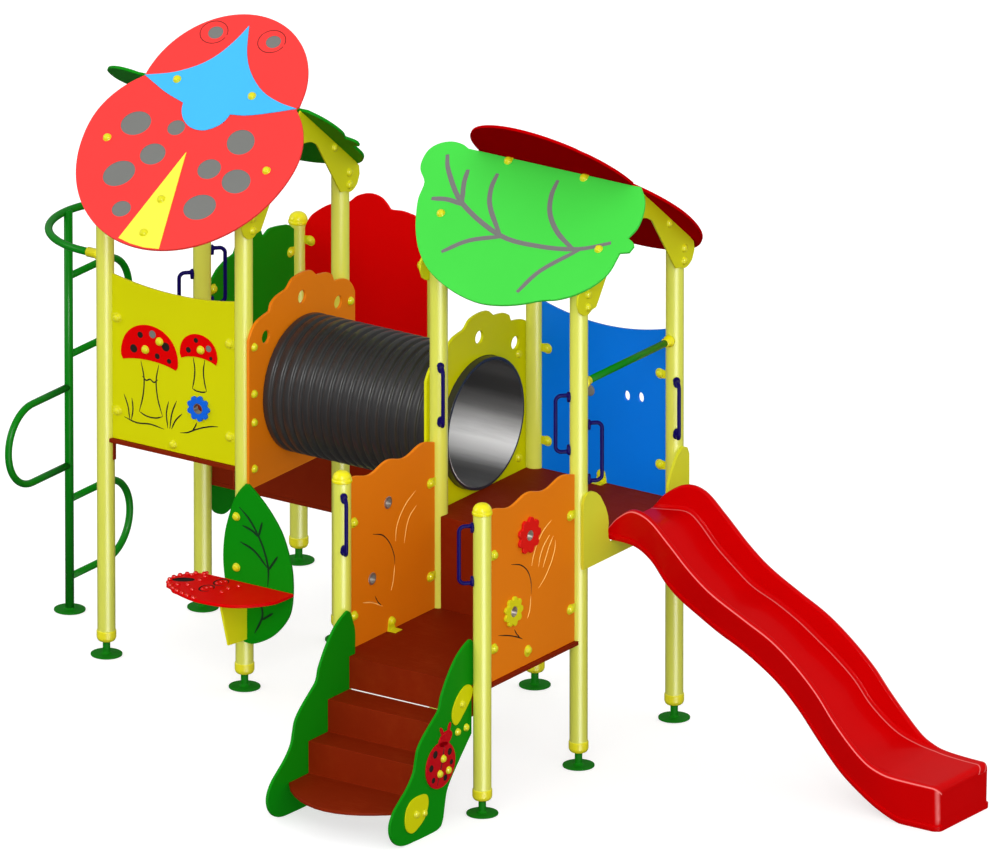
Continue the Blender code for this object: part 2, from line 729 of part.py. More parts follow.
for x in [stations[0] + SLIDE_SKIN] + stations[1:-1] + [DRAWN_REACH - 2.2 * SLIDE_SKIN]:
    roof = between(CHUTE, x) - SLIDE_SKIN
    foot = between(BELLY, x) - 0.05
    hollow.append([
        Vector((RIGHT_X + x * stretch, SLIDE_LEFT + SLIDE_SKIN, foot)),
        Vector((RIGHT_X + x * stretch, SLIDE_LEFT + SLIDE_SKIN, roof)),
        Vector((RIGHT_X + x * stretch, SLIDE_RIGHT - SLIDE_SKIN, roof)),
        Vector((RIGHT_X + x * stretch, SLIDE_RIGHT - SLIDE_SKIN, foot)),
    ])
combine(slide, [loft("hollow", hollow, SLIDE_RED)], "DIFFERENCE")

lobe = [
    (-0.055, 1.66), (-0.035, 1.705), (0.0, 1.722), (0.045, 1.718), (0.082, 1.70), (0.122, 1.665),
    (0.152, 1.62), (0.180, 1.575), (0.201, 1.52), (0.208, 1.47), (0.200, 1.425), (0.205, 1.38),
    (0.235, 1.345),
]
entry = [(PITCH + 0.05, ENTRY_FOOT), (-0.055, ENTRY_FOOT)] + lobe + [
    (SLIDE_LEFT + SLIDE_RIGHT - y, z) for y, z in reversed(lobe[4:])
] + [(PITCH - 0.01, 1.722), (PITCH + 0.03, 1.705), (PITCH + 0.05, 1.66)]
plate(
    "slide_entry_panel", entry, RIGHT_X + FACE, RIGHT_X + FACE + BOARD, on_yz, YELLOW
)
bar(
    "slide_guard_bar",
    [(RIGHT_X, BAR_START + GAP, GUARD_BAR_Z), (RIGHT_X, PITCH - BAR_START - GAP, GUARD_BAR_Z)],
    GUARD_BAR_R,
    (0.0, 0.0, 1.0),
    12,
    GREEN_PIPE,
)


# Climber

climber = turned(
    "climber",
    [
        (ANCHOR_R, 0.0), (ANCHOR_R, 0.010), (CLIMBER_POLE_R, 0.013), (CLIMBER_POLE_R, HOOP_Z + 0.006),
        (CLIMBER_POLE_R * 0.6, HOOP_Z + 0.018),
    ],
    (CLIMBER_X, CLIMBER_Y),
    on_xy,
    12,
    GREEN_PIPE,
)
parts = []
for way, low, high in ((1.0, 0.21, 0.70), (-1.0, 0.89, 1.38), (1.0, 1.60, 2.09)):
    radius = (high - low) / 2.0
    far = CLIMBER_Y + way * 0.625
    corners = [(CLIMBER_Y, low), (far, low), (far, high), (CLIMBER_Y, high)]
    points = [(CLIMBER_X, y, z) for y, z in corners]
    path = rounded(points, radius * 0.999, 6)
    parts.append(bar("loop", path, CLIMBER_LOOP_R, (1.0, 0.0, 0.0), 8, GREEN_PIPE))
hoop_start = LEFT_X - SLEEVE_REACH - GAP
hoop_x = CLIMBER_X + 0.027
corners = [
    (hoop_start, 0.0, HOOP_Z), (hoop_x, 0.0, HOOP_Z), (hoop_x, PITCH, HOOP_Z), (hoop_start, PITCH, HOOP_Z),
]
parts.append(bar("hoop", rounded(corners, 0.30, 6), CLIMBER_HOOP_R, (0.0, 0.0, 1.0), 8, GREEN_PIPE))
combine(climber, parts, "UNION")


# Leaf back plate, seat and gusset

PLATE_Y = -FACE - BOARD
leaf = flowing([
    (1.059, 1.309), (1.02, 1.267), (0.977, 1.198), (0.934, 1.075), (0.908, 0.971), (0.896, 0.832),
    (0.904, 0.713), (0.928, 0.590), (0.965, 0.475), (1.004, 0.385), (1.046, 0.315), (1.098, 0.312),
    (1.167, 0.337), (1.245, 0.384), (1.323, 0.464), (1.375, 0.55), (1.396, 0.669), (1.392, 0.82),
    (1.366, 0.928), (1.323, 1.041), (1.262, 1.134), (1.194, 1.212), (1.133, 1.267), (1.081, 1.31),
], 1, True)
leaf = [(LEFT_X_INNER + x - 1.0, z) for x, z in leaf]
plate("leaf_back_plate", leaf, PLATE_Y, -FACE, on_xz, GREEN)
SEAT_LOW = 0.670
SEAT_HIGH = 0.690
seat = [(0.765, PLATE_Y - GAP), (1.405, PLATE_Y - GAP)] + flowing([
    (1.405, -0.103), (1.393, -0.238), (1.334, -0.342), (1.25, -0.421), (1.15, -0.464),
    (0.987, -0.479), (0.88, -0.455), (0.815, -0.431), (0.772, -0.418), (0.727, -0.378),
    (0.690, -0.362), (0.664, -0.3175), (0.640, -0.260), (0.650, -0.200), (0.666, -0.15), (0.715, -0.095),
], 2)
seat = [(LEFT_X_INNER + x - 1.0, y) for x, y in seat]
plate("seat_board", seat, SEAT_LOW, SEAT_HIGH, on_xy, RED)
gusset = [
    (PLATE_Y - GAP, 0.335), (-0.26, 0.352), (-0.354, SEAT_LOW - GAP), (PLATE_Y - GAP, SEAT_LOW - GAP)
]
plate("seat_gusset", gusset, LEFT_X_INNER + 0.055, LEFT_X_INNER + 0.070, on_yz, YELLOW)


# Flowers that turn on hollow hubs

def flower(name, centre, radius, face, way, at, mat):
    """Scalloped disc in front of a board, with a hollow hub through the board."""
    petals = []
    for index in range(32):
        angle = 2.0 * math.pi * index / 32.0
        reach = radius * (1.0 - 0.13 * (0.5 - 0.5 * math.cos(8.0 * angle)) ** 1.5)
        petals.append((centre[0] + reach * math.cos(angle), centre[1] + reach * math.sin(angle)))
    back = face + way * 0.0005
    front = back + way * FLOWER_THICK
    inner = face - way * (BOARD + 0.0007)
    disc = plate(name, petals, back, front, at, mat)
    hub = turned(
        "hub",
        [
            (HUB_R, back + way * 0.006), (HUB_R, inner), (HUB_R + 0.004, inner),
            (HUB_R + 0.004, inner - way * 0.003), (HUB_R, inner - way * 0.005),
        ],
        centre,
        at,
        HUB_SIDES,
        mat,
    )
    combine(disc, [hub], "UNION")
    bore = turned(
        "bore",
        [(HUB_BORE_R, face - 0.05), (HUB_BORE_R, face + 0.05)],
        centre,
        at,
        HUB_SIDES,
        mat,
    )
    combine(disc, [bore], "DIFFERENCE")


right_face = RIGHT_X + BOARD / 2.0
left_face = RIGHT_X_INNER - BOARD / 2.0
flower("flower_right_upper", FLOWER_UPPER, 0.1125, right_face, 1.0, on_yz, FLOWER_RED)
flower("flower_right_lower", FLOWER_LOWER, 0.0925, right_face, 1.0, on_yz, FLOWER_YELLOW)
flower("flower_left_upper", FLOWER_UPPER, 0.1125, left_face, -1.0, on_yz, FLOWER_WHITE)
flower("flower_left_lower", FLOWER_LOWER, 0.0925, left_face, -1.0, on_yz, FLOWER_RED)
flower("flower_front", FRONT_FLOWER, 0.080, -BOARD / 2.0, -1.0, on_xz, FLOWER_BLUE)


# Grab handles, each on the 45 degree facet of a post

def handle(name, x, y, side_x, side_y, low, high):
    flat = POST_R * math.cos(math.pi / POST_SIDES) + GAP
    out = Vector((side_x, side_y, 0.0)).normalized()
    axis = Vector((x, y, 0.0))

    def spot(reach, height):
        return axis + out * reach + Vector((0.0, 0.0, height))

    corners = [spot(flat, low), spot(HANDLE_REACH, low), spot(HANDLE_REACH, high), spot(flat, high)]
    path = rounded(corners, 0.035, 2)
    lead = [spot(flat, low), spot(flat + 0.006, low), spot(flat + 0.016, low)]
    tail = [spot(flat + 0.016, high), spot(flat + 0.006, high), spot(flat, high)]
    path = lead + path[1:-1] + tail
    radii = [HANDLE_R * 1.75, HANDLE_R * 1.65, HANDLE_R] + [HANDLE_R] * (len(path) - 6)
    radii += [HANDLE_R, HANDLE_R * 1.65, HANDLE_R * 1.75]
    across = out.cross(Vector((0.0, 0.0, 1.0)))
    bar(name, path, radii, across, 8, NAVY)


for name, x, y, side_x, side_y, low, high in (
    ("handle_stair_left", RIGHT_X_INNER, -PITCH, 1.0, -1.0, 1.45, 1.795),
    ("handle_stair_right", RIGHT_X, -PITCH, -1.0, -1.0, 1.445, 1.80),
    ("handle_deck_left", RIGHT_X_INNER, 0.0, 1.0, -1.0, 1.96, 2.318),
    ("handle_deck_right", RIGHT_X, 0.0, -1.0, -1.0, 1.97, 2.32),
    ("handle_slide_front", RIGHT_X, 0.0, 1.0, 1.0, 1.78, 2.14),
    ("handle_slide_back", RIGHT_X, PITCH, 1.0, -1.0, 1.793, 2.135),
    ("handle_climber_front", LEFT_X, 0.0, -1.0, 1.0, 1.75, 2.12),
    ("handle_climber_back", LEFT_X, PITCH, -1.0, -1.0, 1.75, 2.12),
    ("handle_landing_left", LEFT_X, PITCH, 1.0, 1.0, 1.92, 2.265),
    ("handle_landing_right", LEFT_X_INNER, PITCH, -1.0, 1.0, 1.92, 2.265),
):
    handle(name, x, y, side_x, side_y, low, high)
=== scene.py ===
from math import cos, pi, radians, sin, tan

import bmesh
import bpy
from mathutils import Matrix, Vector


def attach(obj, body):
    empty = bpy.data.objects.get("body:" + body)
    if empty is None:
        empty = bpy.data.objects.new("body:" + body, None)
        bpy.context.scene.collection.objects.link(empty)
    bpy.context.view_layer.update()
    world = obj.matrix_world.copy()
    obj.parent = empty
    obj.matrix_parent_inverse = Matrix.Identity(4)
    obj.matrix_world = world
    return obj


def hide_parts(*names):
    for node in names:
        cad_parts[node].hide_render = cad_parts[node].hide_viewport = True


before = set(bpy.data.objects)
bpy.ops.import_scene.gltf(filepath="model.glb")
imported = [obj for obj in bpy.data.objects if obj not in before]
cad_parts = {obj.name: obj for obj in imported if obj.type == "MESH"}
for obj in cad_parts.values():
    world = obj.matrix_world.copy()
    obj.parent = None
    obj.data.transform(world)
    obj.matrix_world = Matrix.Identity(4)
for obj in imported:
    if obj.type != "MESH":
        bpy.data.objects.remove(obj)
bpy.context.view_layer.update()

# The view
# A long lens from the front right, a little above the roofs, as in a catalogue drawing.
# The picture is almost a parallel one, so the camera stands far off.

def added(name, data):
    """A new object of the scene."""
    obj = bpy.data.objects.new(name, data)
    bpy.context.scene.collection.objects.link(obj)
    return obj


def pointed(obj, way):
    """Turns an object so that it looks or shines along a way."""
    obj.rotation_mode = "QUATERNION"
    obj.rotation_quaternion = Vector(way).to_track_quat("-Z", "Y")


VIEW_TURN = radians(34.55)
VIEW_RISE = radians(19.56)
VIEW_LENS = 1440
VIEW_WIDTH = 5.9020
FILM = 36
looked_at = Vector((2.4935, 0.5, 1.7895))
view_back = Vector((sin(VIEW_TURN) * cos(VIEW_RISE), -cos(VIEW_TURN) * cos(VIEW_RISE), sin(VIEW_RISE)))
camera_data = bpy.data.cameras.new("catalogue_camera")
camera_data.lens = VIEW_LENS
camera_data.sensor_width = FILM
camera_data.clip_start = 10
camera_data.clip_end = 900
camera = added("catalogue_camera", camera_data)
camera.location = looked_at + view_back * (VIEW_WIDTH * VIEW_LENS / FILM)
pointed(camera, -view_back)
bpy.context.scene.camera = camera
bpy.context.scene.view_settings.view_transform = "Standard"


# Light and floor
# One broad sun over the viewer's shoulder, two fills without shadows and an even pale sky. A low card of
# light only draws the bright line down each tube. The pale floor keeps a faint shadow.

class Signal:
    """A value inside a material. Sums on it add the matching Math nodes."""

    def __init__(self, paint, socket):
        self.paint = paint
        self.socket = socket

    def sum(self, operation, first, second):
        return self.paint.node("Math", {0: first, 1: second}, operation=operation)

    def __add__(self, other):
        return self.sum("ADD", self, other)

    def __sub__(self, other):
        return self.sum("SUBTRACT", self, other)

    def __rsub__(self, other):
        return self.sum("SUBTRACT", other, self)

    def __mul__(self, other):
        return self.sum("MULTIPLY", self, other)

    def above(self, limit):
        return self.sum("GREATER_THAN", self, limit)

    __radd__ = __add__


class Paint:
    """The nodes of a material or of the sky, with the one way they are made."""

    def __init__(self, owner, shader="Principled BSDF"):
        self.owner = owner
        owner.use_nodes = True
        self.tree = owner.node_tree
        self.shader = self.tree.nodes[shader]
        self.place = self.node("TexCoord", output="Object")

    def node(self, kind, sockets=None, output=0, **settings):
        made = self.tree.nodes.new("ShaderNode" + kind)
        for key, value in settings.items():
            setattr(made, key, value)
        for key, value in (sockets or {}).items():
            self.join(value, made.inputs[key])
        return Signal(self, made.outputs[output])

    def join(self, value, socket):
        if isinstance(value, Signal):
            self.tree.links.new(value.socket, socket)
        else:
            socket.default_value = value

    def set(self, **values):
        for key, value in values.items():
            name = "Specular IOR Level" if key == "specular" else key.replace("_", " ").title()
            self.join(value, self.shader.inputs[name])

    def noise(self, scale, detail=2, roughness=0.5, where=None):
        sockets = {"Vector": where or self.place, "Scale": scale, "Detail": detail, "Roughness": roughness}
        return self.node("TexNoise", sockets)

    def stretched(self, across, along, up):
        return self.node("Mapping", {"Vector": self.place, "Scale": (across, along, up)})

    def ranged(self, value, first, last, low, high):
        sockets = {"Value": value, "From Min": first, "From Max": last, "To Min": low, "To Max": high}
        return self.node("MapRange", sockets)

    def mixed(self, share, first, second):
        return self.node("Mix", {0: share, 6: first, 7: second}, 2, data_type="RGBA")

    def bumped(self, height, distance, strength):
        self.set(normal=self.node("Bump", {"Height": height, "Distance": distance, "Strength": strength}))


def tint(red, green, blue):
    """Colour from 0 to 255 as linear light."""
    shares = [value / 255 for value in (red, green, blue)]
    return (*[s / 12.92 if s <= 0.04045 else ((s + 0.055) / 1.055) ** 2.4 for s in shares], 1)


def scaled(colour, factor):
    return (*[min(1, value * factor) for value in colour[:3]], 1)


def meshed(bm, name, materials=()):
    """The mesh of a bmesh, which ends here."""
    mesh = bpy.data.meshes.new(name)
    bm.to_mesh(mesh)
    bm.free()
    for material in materials:
        mesh.materials.append(material)
    return mesh


sky = Paint(bpy.data.worlds.new("pale_sky"), "Background")
bpy.context.scene.world = sky.owner
height = sky.node("SeparateXYZ", {0: sky.node("TexCoord", output="Generated")}, 2)
paler_low = sky.ranged(height, 0, 1, 1.34, 0.62)
mirrored = sky.ranged(sky.node("LightPath", output="Is Glossy Ray"), 0, 1, paler_low, 0.30)
amount = sky.ranged(sky.node("LightPath", output="Is Camera Ray"), 0, 1, mirrored, 1)
sky.set(color=(1, 1, 1, 1), strength=amount)

for lamp_name, energy, spread, aim, casts, only_shine in (
    ("main_sun", 0.34, 14, (-0.50, 0.65, -0.57), True, False),
    ("fill_sun", 1.38, 20, (-0.54, 0.70, -0.42), False, False),
    ("side_sun", 0.42, 30, (0.80, 0.55, -0.50), False, False),
    ("low_card", 3.2, 40, (-0.77, 0.54, 0.34), True, True),
):
    sun_data = bpy.data.lights.new(lamp_name, "SUN")
    sun_data.energy = energy
    sun_data.angle = radians(spread)
    sun_data.use_shadow = casts
    sun = added(lamp_name, sun_data)
    pointed(sun, aim)
    sun.visible_diffuse = not only_shine

floor_paint = Paint(bpy.data.materials.new("pale_floor"))
seen = floor_paint.node("LightPath", output="Is Camera Ray")
floor_paint.set(
    base_color=floor_paint.mixed(seen, (0.10, 0.10, 0.10, 1), (0.62, 0.62, 0.62, 1)),
    emission_color=floor_paint.mixed(seen, (0, 0, 0, 1), (0.50, 0.50, 0.50, 1)),
    emission_strength=1, roughness=0.9, specular=0,
)
bm = bmesh.new()
bmesh.ops.create_circle(bm, cap_ends=True, segments=64, radius=90)
floor = added("floor", meshed(bm, "floor", [floor_paint.owner]))
floor.location = (2.5, 0, -0.0005)
floor.visible_shadow = False


# Posts
# Steel tubes 108 mm across with a pale yellow powder coat, each in a brighter plastic foot
# collar over a green anchor rod and ground plate. The short ones have a domed plastic cap.

def powder_coat(name, colour, roughness=0.38, shine=0.3, spread=0.16, dirt=0.16, gleam=0.25):
    """Baked powder coat: even colour, fine orange peel, a little dust low down."""
    paint = Paint(bpy.data.materials.new(name))
    cloud = paint.noise(1.7, 3)
    speck = paint.noise(1300, 1)
    low = paint.node("SeparateXYZ", {0: paint.place}, 2)
    dust = paint.ranged(low, 0, 0.7, dirt, 0) * paint.noise(14, 5, 0.7)
    base = paint.mixed(cloud, scaled(colour, 0.93), scaled(colour, 1.05))
    base = paint.mixed((speck - 0.5) * 0.10 + 0.03, base, scaled(colour, 0.72))
    paint.set(
        base_color=paint.mixed(dust, base, tint(150, 140, 118)), specular=gleam,
        roughness=cloud * 0.10 + (roughness - 0.05) + dust * 0.5, coat_weight=shine, coat_roughness=spread,
    )
    paint.bumped(paint.noise(420), 0.00012, 0.5)
    return paint.owner


def piece(name, bm, materials, body="structure", replaces=(), slot=None):
    """Makes a finished mesh object that rides on a body."""
    obj = added(name, meshed(bm, name, materials if isinstance(materials, list) else [materials]))
    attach(obj, body)
    if replaces:
        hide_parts(*replaces)
    return obj


def rounded(points, radius, steps=4):
    """Eases the inner corners of a profile with small arcs."""
    way = [points[0]]
    for before, corner, after in zip(points, points[1:], points[2:]):
        corner = Vector(corner)
        back = Vector(before) - corner
        ahead = Vector(after) - corner
        reach = min(radius, back.length * 0.45, ahead.length * 0.45)
        first = corner + back.normalized() * reach
        last = corner + ahead.normalized() * reach
        for step in range(steps + 1):
            share = step / steps
            way.append(first * (1 - share) ** 2 + corner * 2 * share * (1 - share) + last * share ** 2)
    way.append(points[-1])
    return way


def creased(bm, angle):
    """Turns faces outwards and keeps the edges sharper than an angle in degrees."""
    bmesh.ops.recalc_face_normals(bm, faces=bm.faces)
    for edge in bm.edges:
        if len(edge.link_faces) == 2 and edge.calc_face_angle() > radians(angle):
            edge.smooth = False


def turned(profile, steps=48, ease=0):
    """Spins a profile of radius and height about Z into a closed smooth mesh. ease rounds its corners."""
    if ease:
        profile = rounded(profile, ease)
    bm = bmesh.new()
    verts = [bm.verts.new((radius, 0, height)) for radius, height in profile]
    edges = [bm.edges.new(pair) for pair in zip(verts, verts[1:])]
    bmesh.ops.spin(bm, geom=verts + edges, axis=(0, 0, 1), angle=2 * pi, steps=steps, use_merge=True)
    bmesh.ops.remove_doubles(bm, verts=bm.verts, dist=0.000005)
    for face in bm.faces:
        face.smooth = True
    creased(bm, 38)
    return meshed(bm, "turned")


def shift(x, y, z=0):
    return Matrix.Translation((x, y, z))


def stamp(mesh, place, bm=None):
    """Adds a copy of a mesh at a place, to bm or to a new one."""
    if bm is None:
        bm = bmesh.new()
    known = len(bm.verts)
    bm.from_mesh(mesh)
    bm.verts.ensure_lookup_table()
    bmesh.ops.transform(bm, matrix=place, verts=bm.verts[known:])
    return bm


POST_RADIUS = 0.054
POST_FROM = 0.140
TALL_TOP = 3
MIDDLE_Y = 0.5
posts = {
    "left_post_front_outer": (0, 0, None), "left_post_front_inner": (1, 0, None),
    "left_post_back_outer": (0, 1, None), "left_post_back_inner": (1, 1, None),
    "right_post_front_inner": (2.4, 0, None), "right_post_front_outer": (3.4, 0, None),
    "right_post_back_inner": (2.4, 1, None), "right_post_back_outer": (3.4, 1, None),
    "front_landing_post_left": (2.4, -1, 1.868), "front_landing_post_right": (3.4, -1, 1.868),
    "back_landing_post_left": (0, 2, 2.14), "back_landing_post_right": (1, 2, 2.14),
}
post_coat = powder_coat("pale_yellow_coat", tint(218, 222, 82), 0.42, 1, 0.34)
bright_yellow = powder_coat("bright_yellow_plastic", tint(230, 222, 10), 0.32, 0.35)
anchor_green = powder_coat("anchor_green_coat", tint(0, 114, 2), 0.60, 0, dirt=0.02, gleam=0.08)
collar = turned([
    (0, 0.090), (0.044, 0.090), (0.0520, 0.096), (0.0590, 0.112), (0.0590, 0.154), (0.0575, 0.157),
    (0.0535, 0.157),
], ease=0.004)
anchor = turned([
    (0, 0), (0.095, 0), (0.095, 0.010), (0.034, 0.011), (0.0235, 0.020), (0.0225, 0.030),
    (0.0225, 0.092), (0, 0.092),
], ease=0.003)
dome = turned([
    (0, 0), (0.0605, 0), (0.0605, 0.016), (0.0570, 0.020), (0.0550, 0.036), (0.045, 0.054),
    (0.028, 0.066), (0, 0.070),
], ease=0.006)
for name, (x, y, top) in posts.items():
    end, ease = (TALL_TOP, 0.004) if top is None else (top + 0.01, 0)
    tube = turned([(0, POST_FROM), (POST_RADIUS, POST_FROM), (POST_RADIUS, end), (0, end)], ease=ease)
    piece(name + "_tube", stamp(tube, shift(x, y)), post_coat, replaces=(name,), slot="post_yellow")
    if top is not None:
        piece(name + "_cap", stamp(dome, shift(x, y, top)), bright_yellow, slot="post_yellow")
    piece(name + "_foot_collar", stamp(collar, shift(x, y)), bright_yellow, slot="post_yellow")
    piece(name + "_anchor", stamp(anchor, shift(x, y)), anchor_green, slot="pipe_green")


# Floors, risers and stair
# Folded steel sheet in a brown coat with a fine sandy grip, worn smoother and paler where feet pass.
# They keep the shape of the model's solids, with their edges eased.

GRIP_COLOUR = tint(124, 30, 1)
grip = Paint(bpy.data.materials.new("brown_grip_coat"))
grit = grip.noise(900, 3, 0.6)
patch = grip.noise(2.6, 5, 0.6)
scuff = grip.noise(9, 8, 0.75, grip.stretched(1, 5, 1))
worn = grip.ranged(patch * scuff, 0.24, 0.50, 0, 0.35)
base = grip.mixed(patch, scaled(GRIP_COLOUR, 0.86), scaled(GRIP_COLOUR, 1.10))
base = grip.mixed(worn, base, tint(142, 52, 16))
grip.set(
    base_color=grip.mixed(grit.above(0.62) * 0.25, base, scaled(GRIP_COLOUR, 0.55)),
    roughness=0.62 - worn * 0.35, specular=0.06,
)
grip.bumped(grit, 0.0004, 0.6)
brown_coat = grip.owner


def sheet(node, front=None):
    """A copy of a solid, merged, with its edges bevelled. front trims it back to that Y."""
    bm = bmesh.new()
    bm.from_mesh(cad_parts[node].data)
    bmesh.ops.remove_doubles(bm, verts=bm.verts, dist=0.00002)
    bmesh.ops.dissolve_limit(
        bm, angle_limit=radians(0.5), use_dissolve_boundaries=False, verts=bm.verts, edges=bm.edges
    )
    if front is not None:
        whole = list(bm.verts) + list(bm.edges) + list(bm.faces)
        bmesh.ops.bisect_plane(
            bm, geom=whole, dist=0.00001, plane_co=(0, front, 0), plane_no=(0, -1, 0), clear_outer=True
        )
        bmesh.ops.edgeloop_fill(bm, edges=[edge for edge in bm.edges if edge.is_boundary])
        bmesh.ops.recalc_face_normals(bm, faces=bm.faces)
    obj = piece(node + "_sheet", bm, brown_coat, replaces=(node,), slot="deck_brown")
    bevel = obj.modifiers.new("eased", "BEVEL")
    bevel.width = 0.003
    bevel.segments = 3
    bevel.limit_method = "ANGLE"
    bevel.angle_limit = radians(50)
    bevel.harden_normals = False


for node in ("deck_left", "deck_right", "landing_front", "riser_front", "riser_back", "stair_treads"):
    sheet(node)
sheet("landing_back", 1.0303)


# Deck hangers
# Short brown straps that hang the left deck's front edge on its posts.

bm = bmesh.new()
for x in (0.0660, 0.9340):
    strap = bmesh.ops.create_cube(bm, size=1)["verts"]
    bmesh.ops.scale(bm, vec=(0.008, 0.026, 0.126), verts=strap)
    bmesh.ops.translate(bm, vec=(x, -0.004, 1.306), verts=strap)
bmesh.ops.bevel(
    bm, geom=list(bm.edges), offset=0.002, offset_type="OFFSET", segments=2, profile=0.5, affect="EDGES",
    clamp_overlap=True,
)
piece("deck_hangers", bm, brown_coat, slot="deck_brown")


# Front panel
# Yellow board between the left tower's front posts, in four lugs. Like every board here it is dense plastic
# 18 mm thick with eased edges. Red toadstools are screwed on, their stems and the grass cut to a dark core.

THICK = 0.018


def board_plastic(name, colour, roughness=0.42, shine=0.11):
    """Through-coloured plastic board: fine pebble grain, faint clouding, light handling marks."""
    paint = Paint(bpy.data.materials.new(name))
    cloud = paint.noise(2.2, 4, 0.55)
    scratch = paint.noise(26, 6, 0.8, paint.stretched(0.7, 0.7, 3))
    mark = paint.ranged(scratch, 0.62, 0.80, 0, 0.16)
    base = paint.mixed(cloud, scaled(colour, 0.95), scaled(colour, 1.04))
    paint.set(
        base_color=paint.mixed(mark, base, scaled(colour, 1.25)), specular=shine,
        roughness=roughness + mark * 0.6 + (cloud - 0.5) * 0.08,
    )
    paint.bumped(paint.noise(650), 0.0001, 0.6)
    return paint.owner


def rims(node):
    """Outline loops of a board's face, in order, with the board on their left, and the way out of it."""
    bm = bmesh.new()
    bm.from_mesh(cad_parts[node].data)
    bmesh.ops.remove_doubles(bm, verts=bm.verts, dist=0.00002)
    out = max(bm.faces, key=lambda face: face.calc_area()).normal.copy()
    upper = {face for face in bm.faces if face.normal.dot(out) > 0.999}
    ahead = {}
    for face in upper:
        for corner in face.loops:
            if not any(other in upper for other in corner.edge.link_faces if other is not face):
                ahead[corner.vert] = corner.link_loop_next.vert
    depths = [vert.co.dot(out) for vert in bm.verts]
    loops = []
    while ahead:
        start = next(iter(ahead))
        ring = [start]
        after = ahead.pop(start)
        while after is not start:
            ring.append(after)
            after = ahead.pop(after)
        loops.append([vert.co.copy() for vert in ring])
    bm.free()
    return loops, out, max(depths) - min(depths)


def between(a, b, from_a, to_b, t):
    return a * ((to_b - t) / (to_b - from_a)) + b * ((t - from_a) / (to_b - from_a))


def smoothed(ring, steps=4, corner=38, straight=0.30):
    """Closed smooth curve through a ring. It keeps sharp corners, in degrees, and long straight sides."""
    count = len(ring)
    kept = []
    for index, point in enumerate(ring):
        kept.append((point - ring[index - 1]).angle(ring[(index + 1) % count] - point) > radians(corner))
    curve = []
    for index in range(count):
        p0, p1, p2, p3 = [ring[(index + offset) % count] for offset in (-1, 0, 1, 2)]
        curve.append(p1.copy())
        if (p2 - p1).length > straight:
            continue
        if kept[index] or (p1 - p0).length > straight:
            p0 = p1 * 2 - p2
        if kept[(index + 1) % count] or (p3 - p2).length > straight:
            p3 = p2 * 2 - p1
        t1 = max((p1 - p0).length, 0.0001) ** 0.5
        t2 = t1 + max((p2 - p1).length, 0.0001) ** 0.5
        t3 = t2 + max((p3 - p2).length, 0.0001) ** 0.5
        for step in range(1, steps):
            t = t1 + (t2 - t1) * step / steps
            middle = between(p1, p2, t1, t2, t)
            b1 = between(between(p0, p1, 0, t1, t), middle, 0, t2, t)
            b2 = between(middle, between(p2, p3, t2, t3, t), t1, t3, t)
            curve.append(between(b1, b2, t1, t2, t))
    return curve


def drawn_in(ring, out, amount):
    """The ring moved towards its board by an amount."""
    moved = []
    for index, point in enumerate(ring):
        behind = (point - ring[index - 1]).normalized()
        ahead = (ring[(index + 1) % len(ring)] - point).normalized()
        along = (behind + ahead).normalized()
        stretch = 1 / max(along.dot(ahead), 0.5)
        moved.append(point + out.cross(along).normalized() * (amount * stretch))
    return moved


def skinned(bm, rows):
    """Faces between each ring of verts and the next."""
    for row, after in zip(rows, rows[1:]):
        for index in range(len(row)):
            bm.faces.new((row[index - 1], row[index], after[index], after[index - 1]))


def closed(bm, rows):
    """A solid skin over rings of verts, shut at the first and the last."""
    skinned(bm, rows)
    bm.faces.new(rows[0])
    bm.faces.new(rows[-1])
    bmesh.ops.recalc_face_normals(bm, faces=bm.faces)
    return bm


def slab(loops, out, thick, ease=0.0025):
    """Board between its face loops and the same loops set back, with eased edges."""
    bm = bmesh.new()
    slight = ease * 0.29
    levels = (
        (ease, 0), (slight, slight), (0, ease), (0, thick - ease), (slight, thick - slight), (ease, thick),
    )
    ends = ([], [])
    for ring in loops:
        rows = []
        for inward, down in levels:
            rows.append([bm.verts.new(point - out * down) for point in drawn_in(ring, out, inward)])
        skinned(bm, rows)
        for edges, row in zip(ends, (rows[0], rows[-1])):
            edges += [bm.edges.get((row[index - 1], row[index])) for index in range(len(row))]
    for face in bm.faces:
        face.smooth = True
    for edges in ends:
        bmesh.ops.triangle_fill(bm, use_beauty=True, use_dissolve=False, edges=edges, normal=out)
    creased(bm, 50)
    return bm


def board(node, material, slot, cuts=(), ease=0.0025, corner=38):
    """A board redrawn from its solid with a smooth outline, with what is cut into it."""
    loops, out, thick = rims(node)
    bm = slab([smoothed(ring, corner=corner) for ring in loops], out, thick, ease)
    bm, materials = carved(bm, material, cuts) if cuts else (bm, material)
    piece(node + "_board", bm, materials, replaces=(node,), slot=slot)


def face_of(origin, across, up):
    """Drawing plane: its columns are across, up and out, and it stands at origin."""
    across = Vector(across).normalized()
    up = Vector(up).normalized()
    plane = Matrix((across, up, across.cross(up))).transposed().to_4x4()
    plane.translation = origin
    return plane


def wall(x, y, across_x, across_y):
    """Upright drawing plane."""
    return face_of((x, y, 0), (across_x, across_y, 0), (0, 0, 1))


def flowing(points, steps=5):
    """Open smooth curve through points of a drawing plane."""
    points = [Vector(point) for point in points]
    ends = [points[0] * 2 - points[1], *points, points[-1] * 2 - points[-2]]
    way = []
    for p0, p1, p2, p3 in zip(ends, ends[1:], ends[2:], ends[3:]):
        for step in range(steps):
            t = step / steps
            way.append(0.5 * (
                p1 * 2 + (p2 - p0) * t + (p0 * 2 - p1 * 5 + p2 * 4 - p3) * t * t
                + (p1 * 3 - p0 - p2 * 3 + p3) * t ** 3
            ))
    way.append(points[-1])
    return way


CLEAR = 0.004


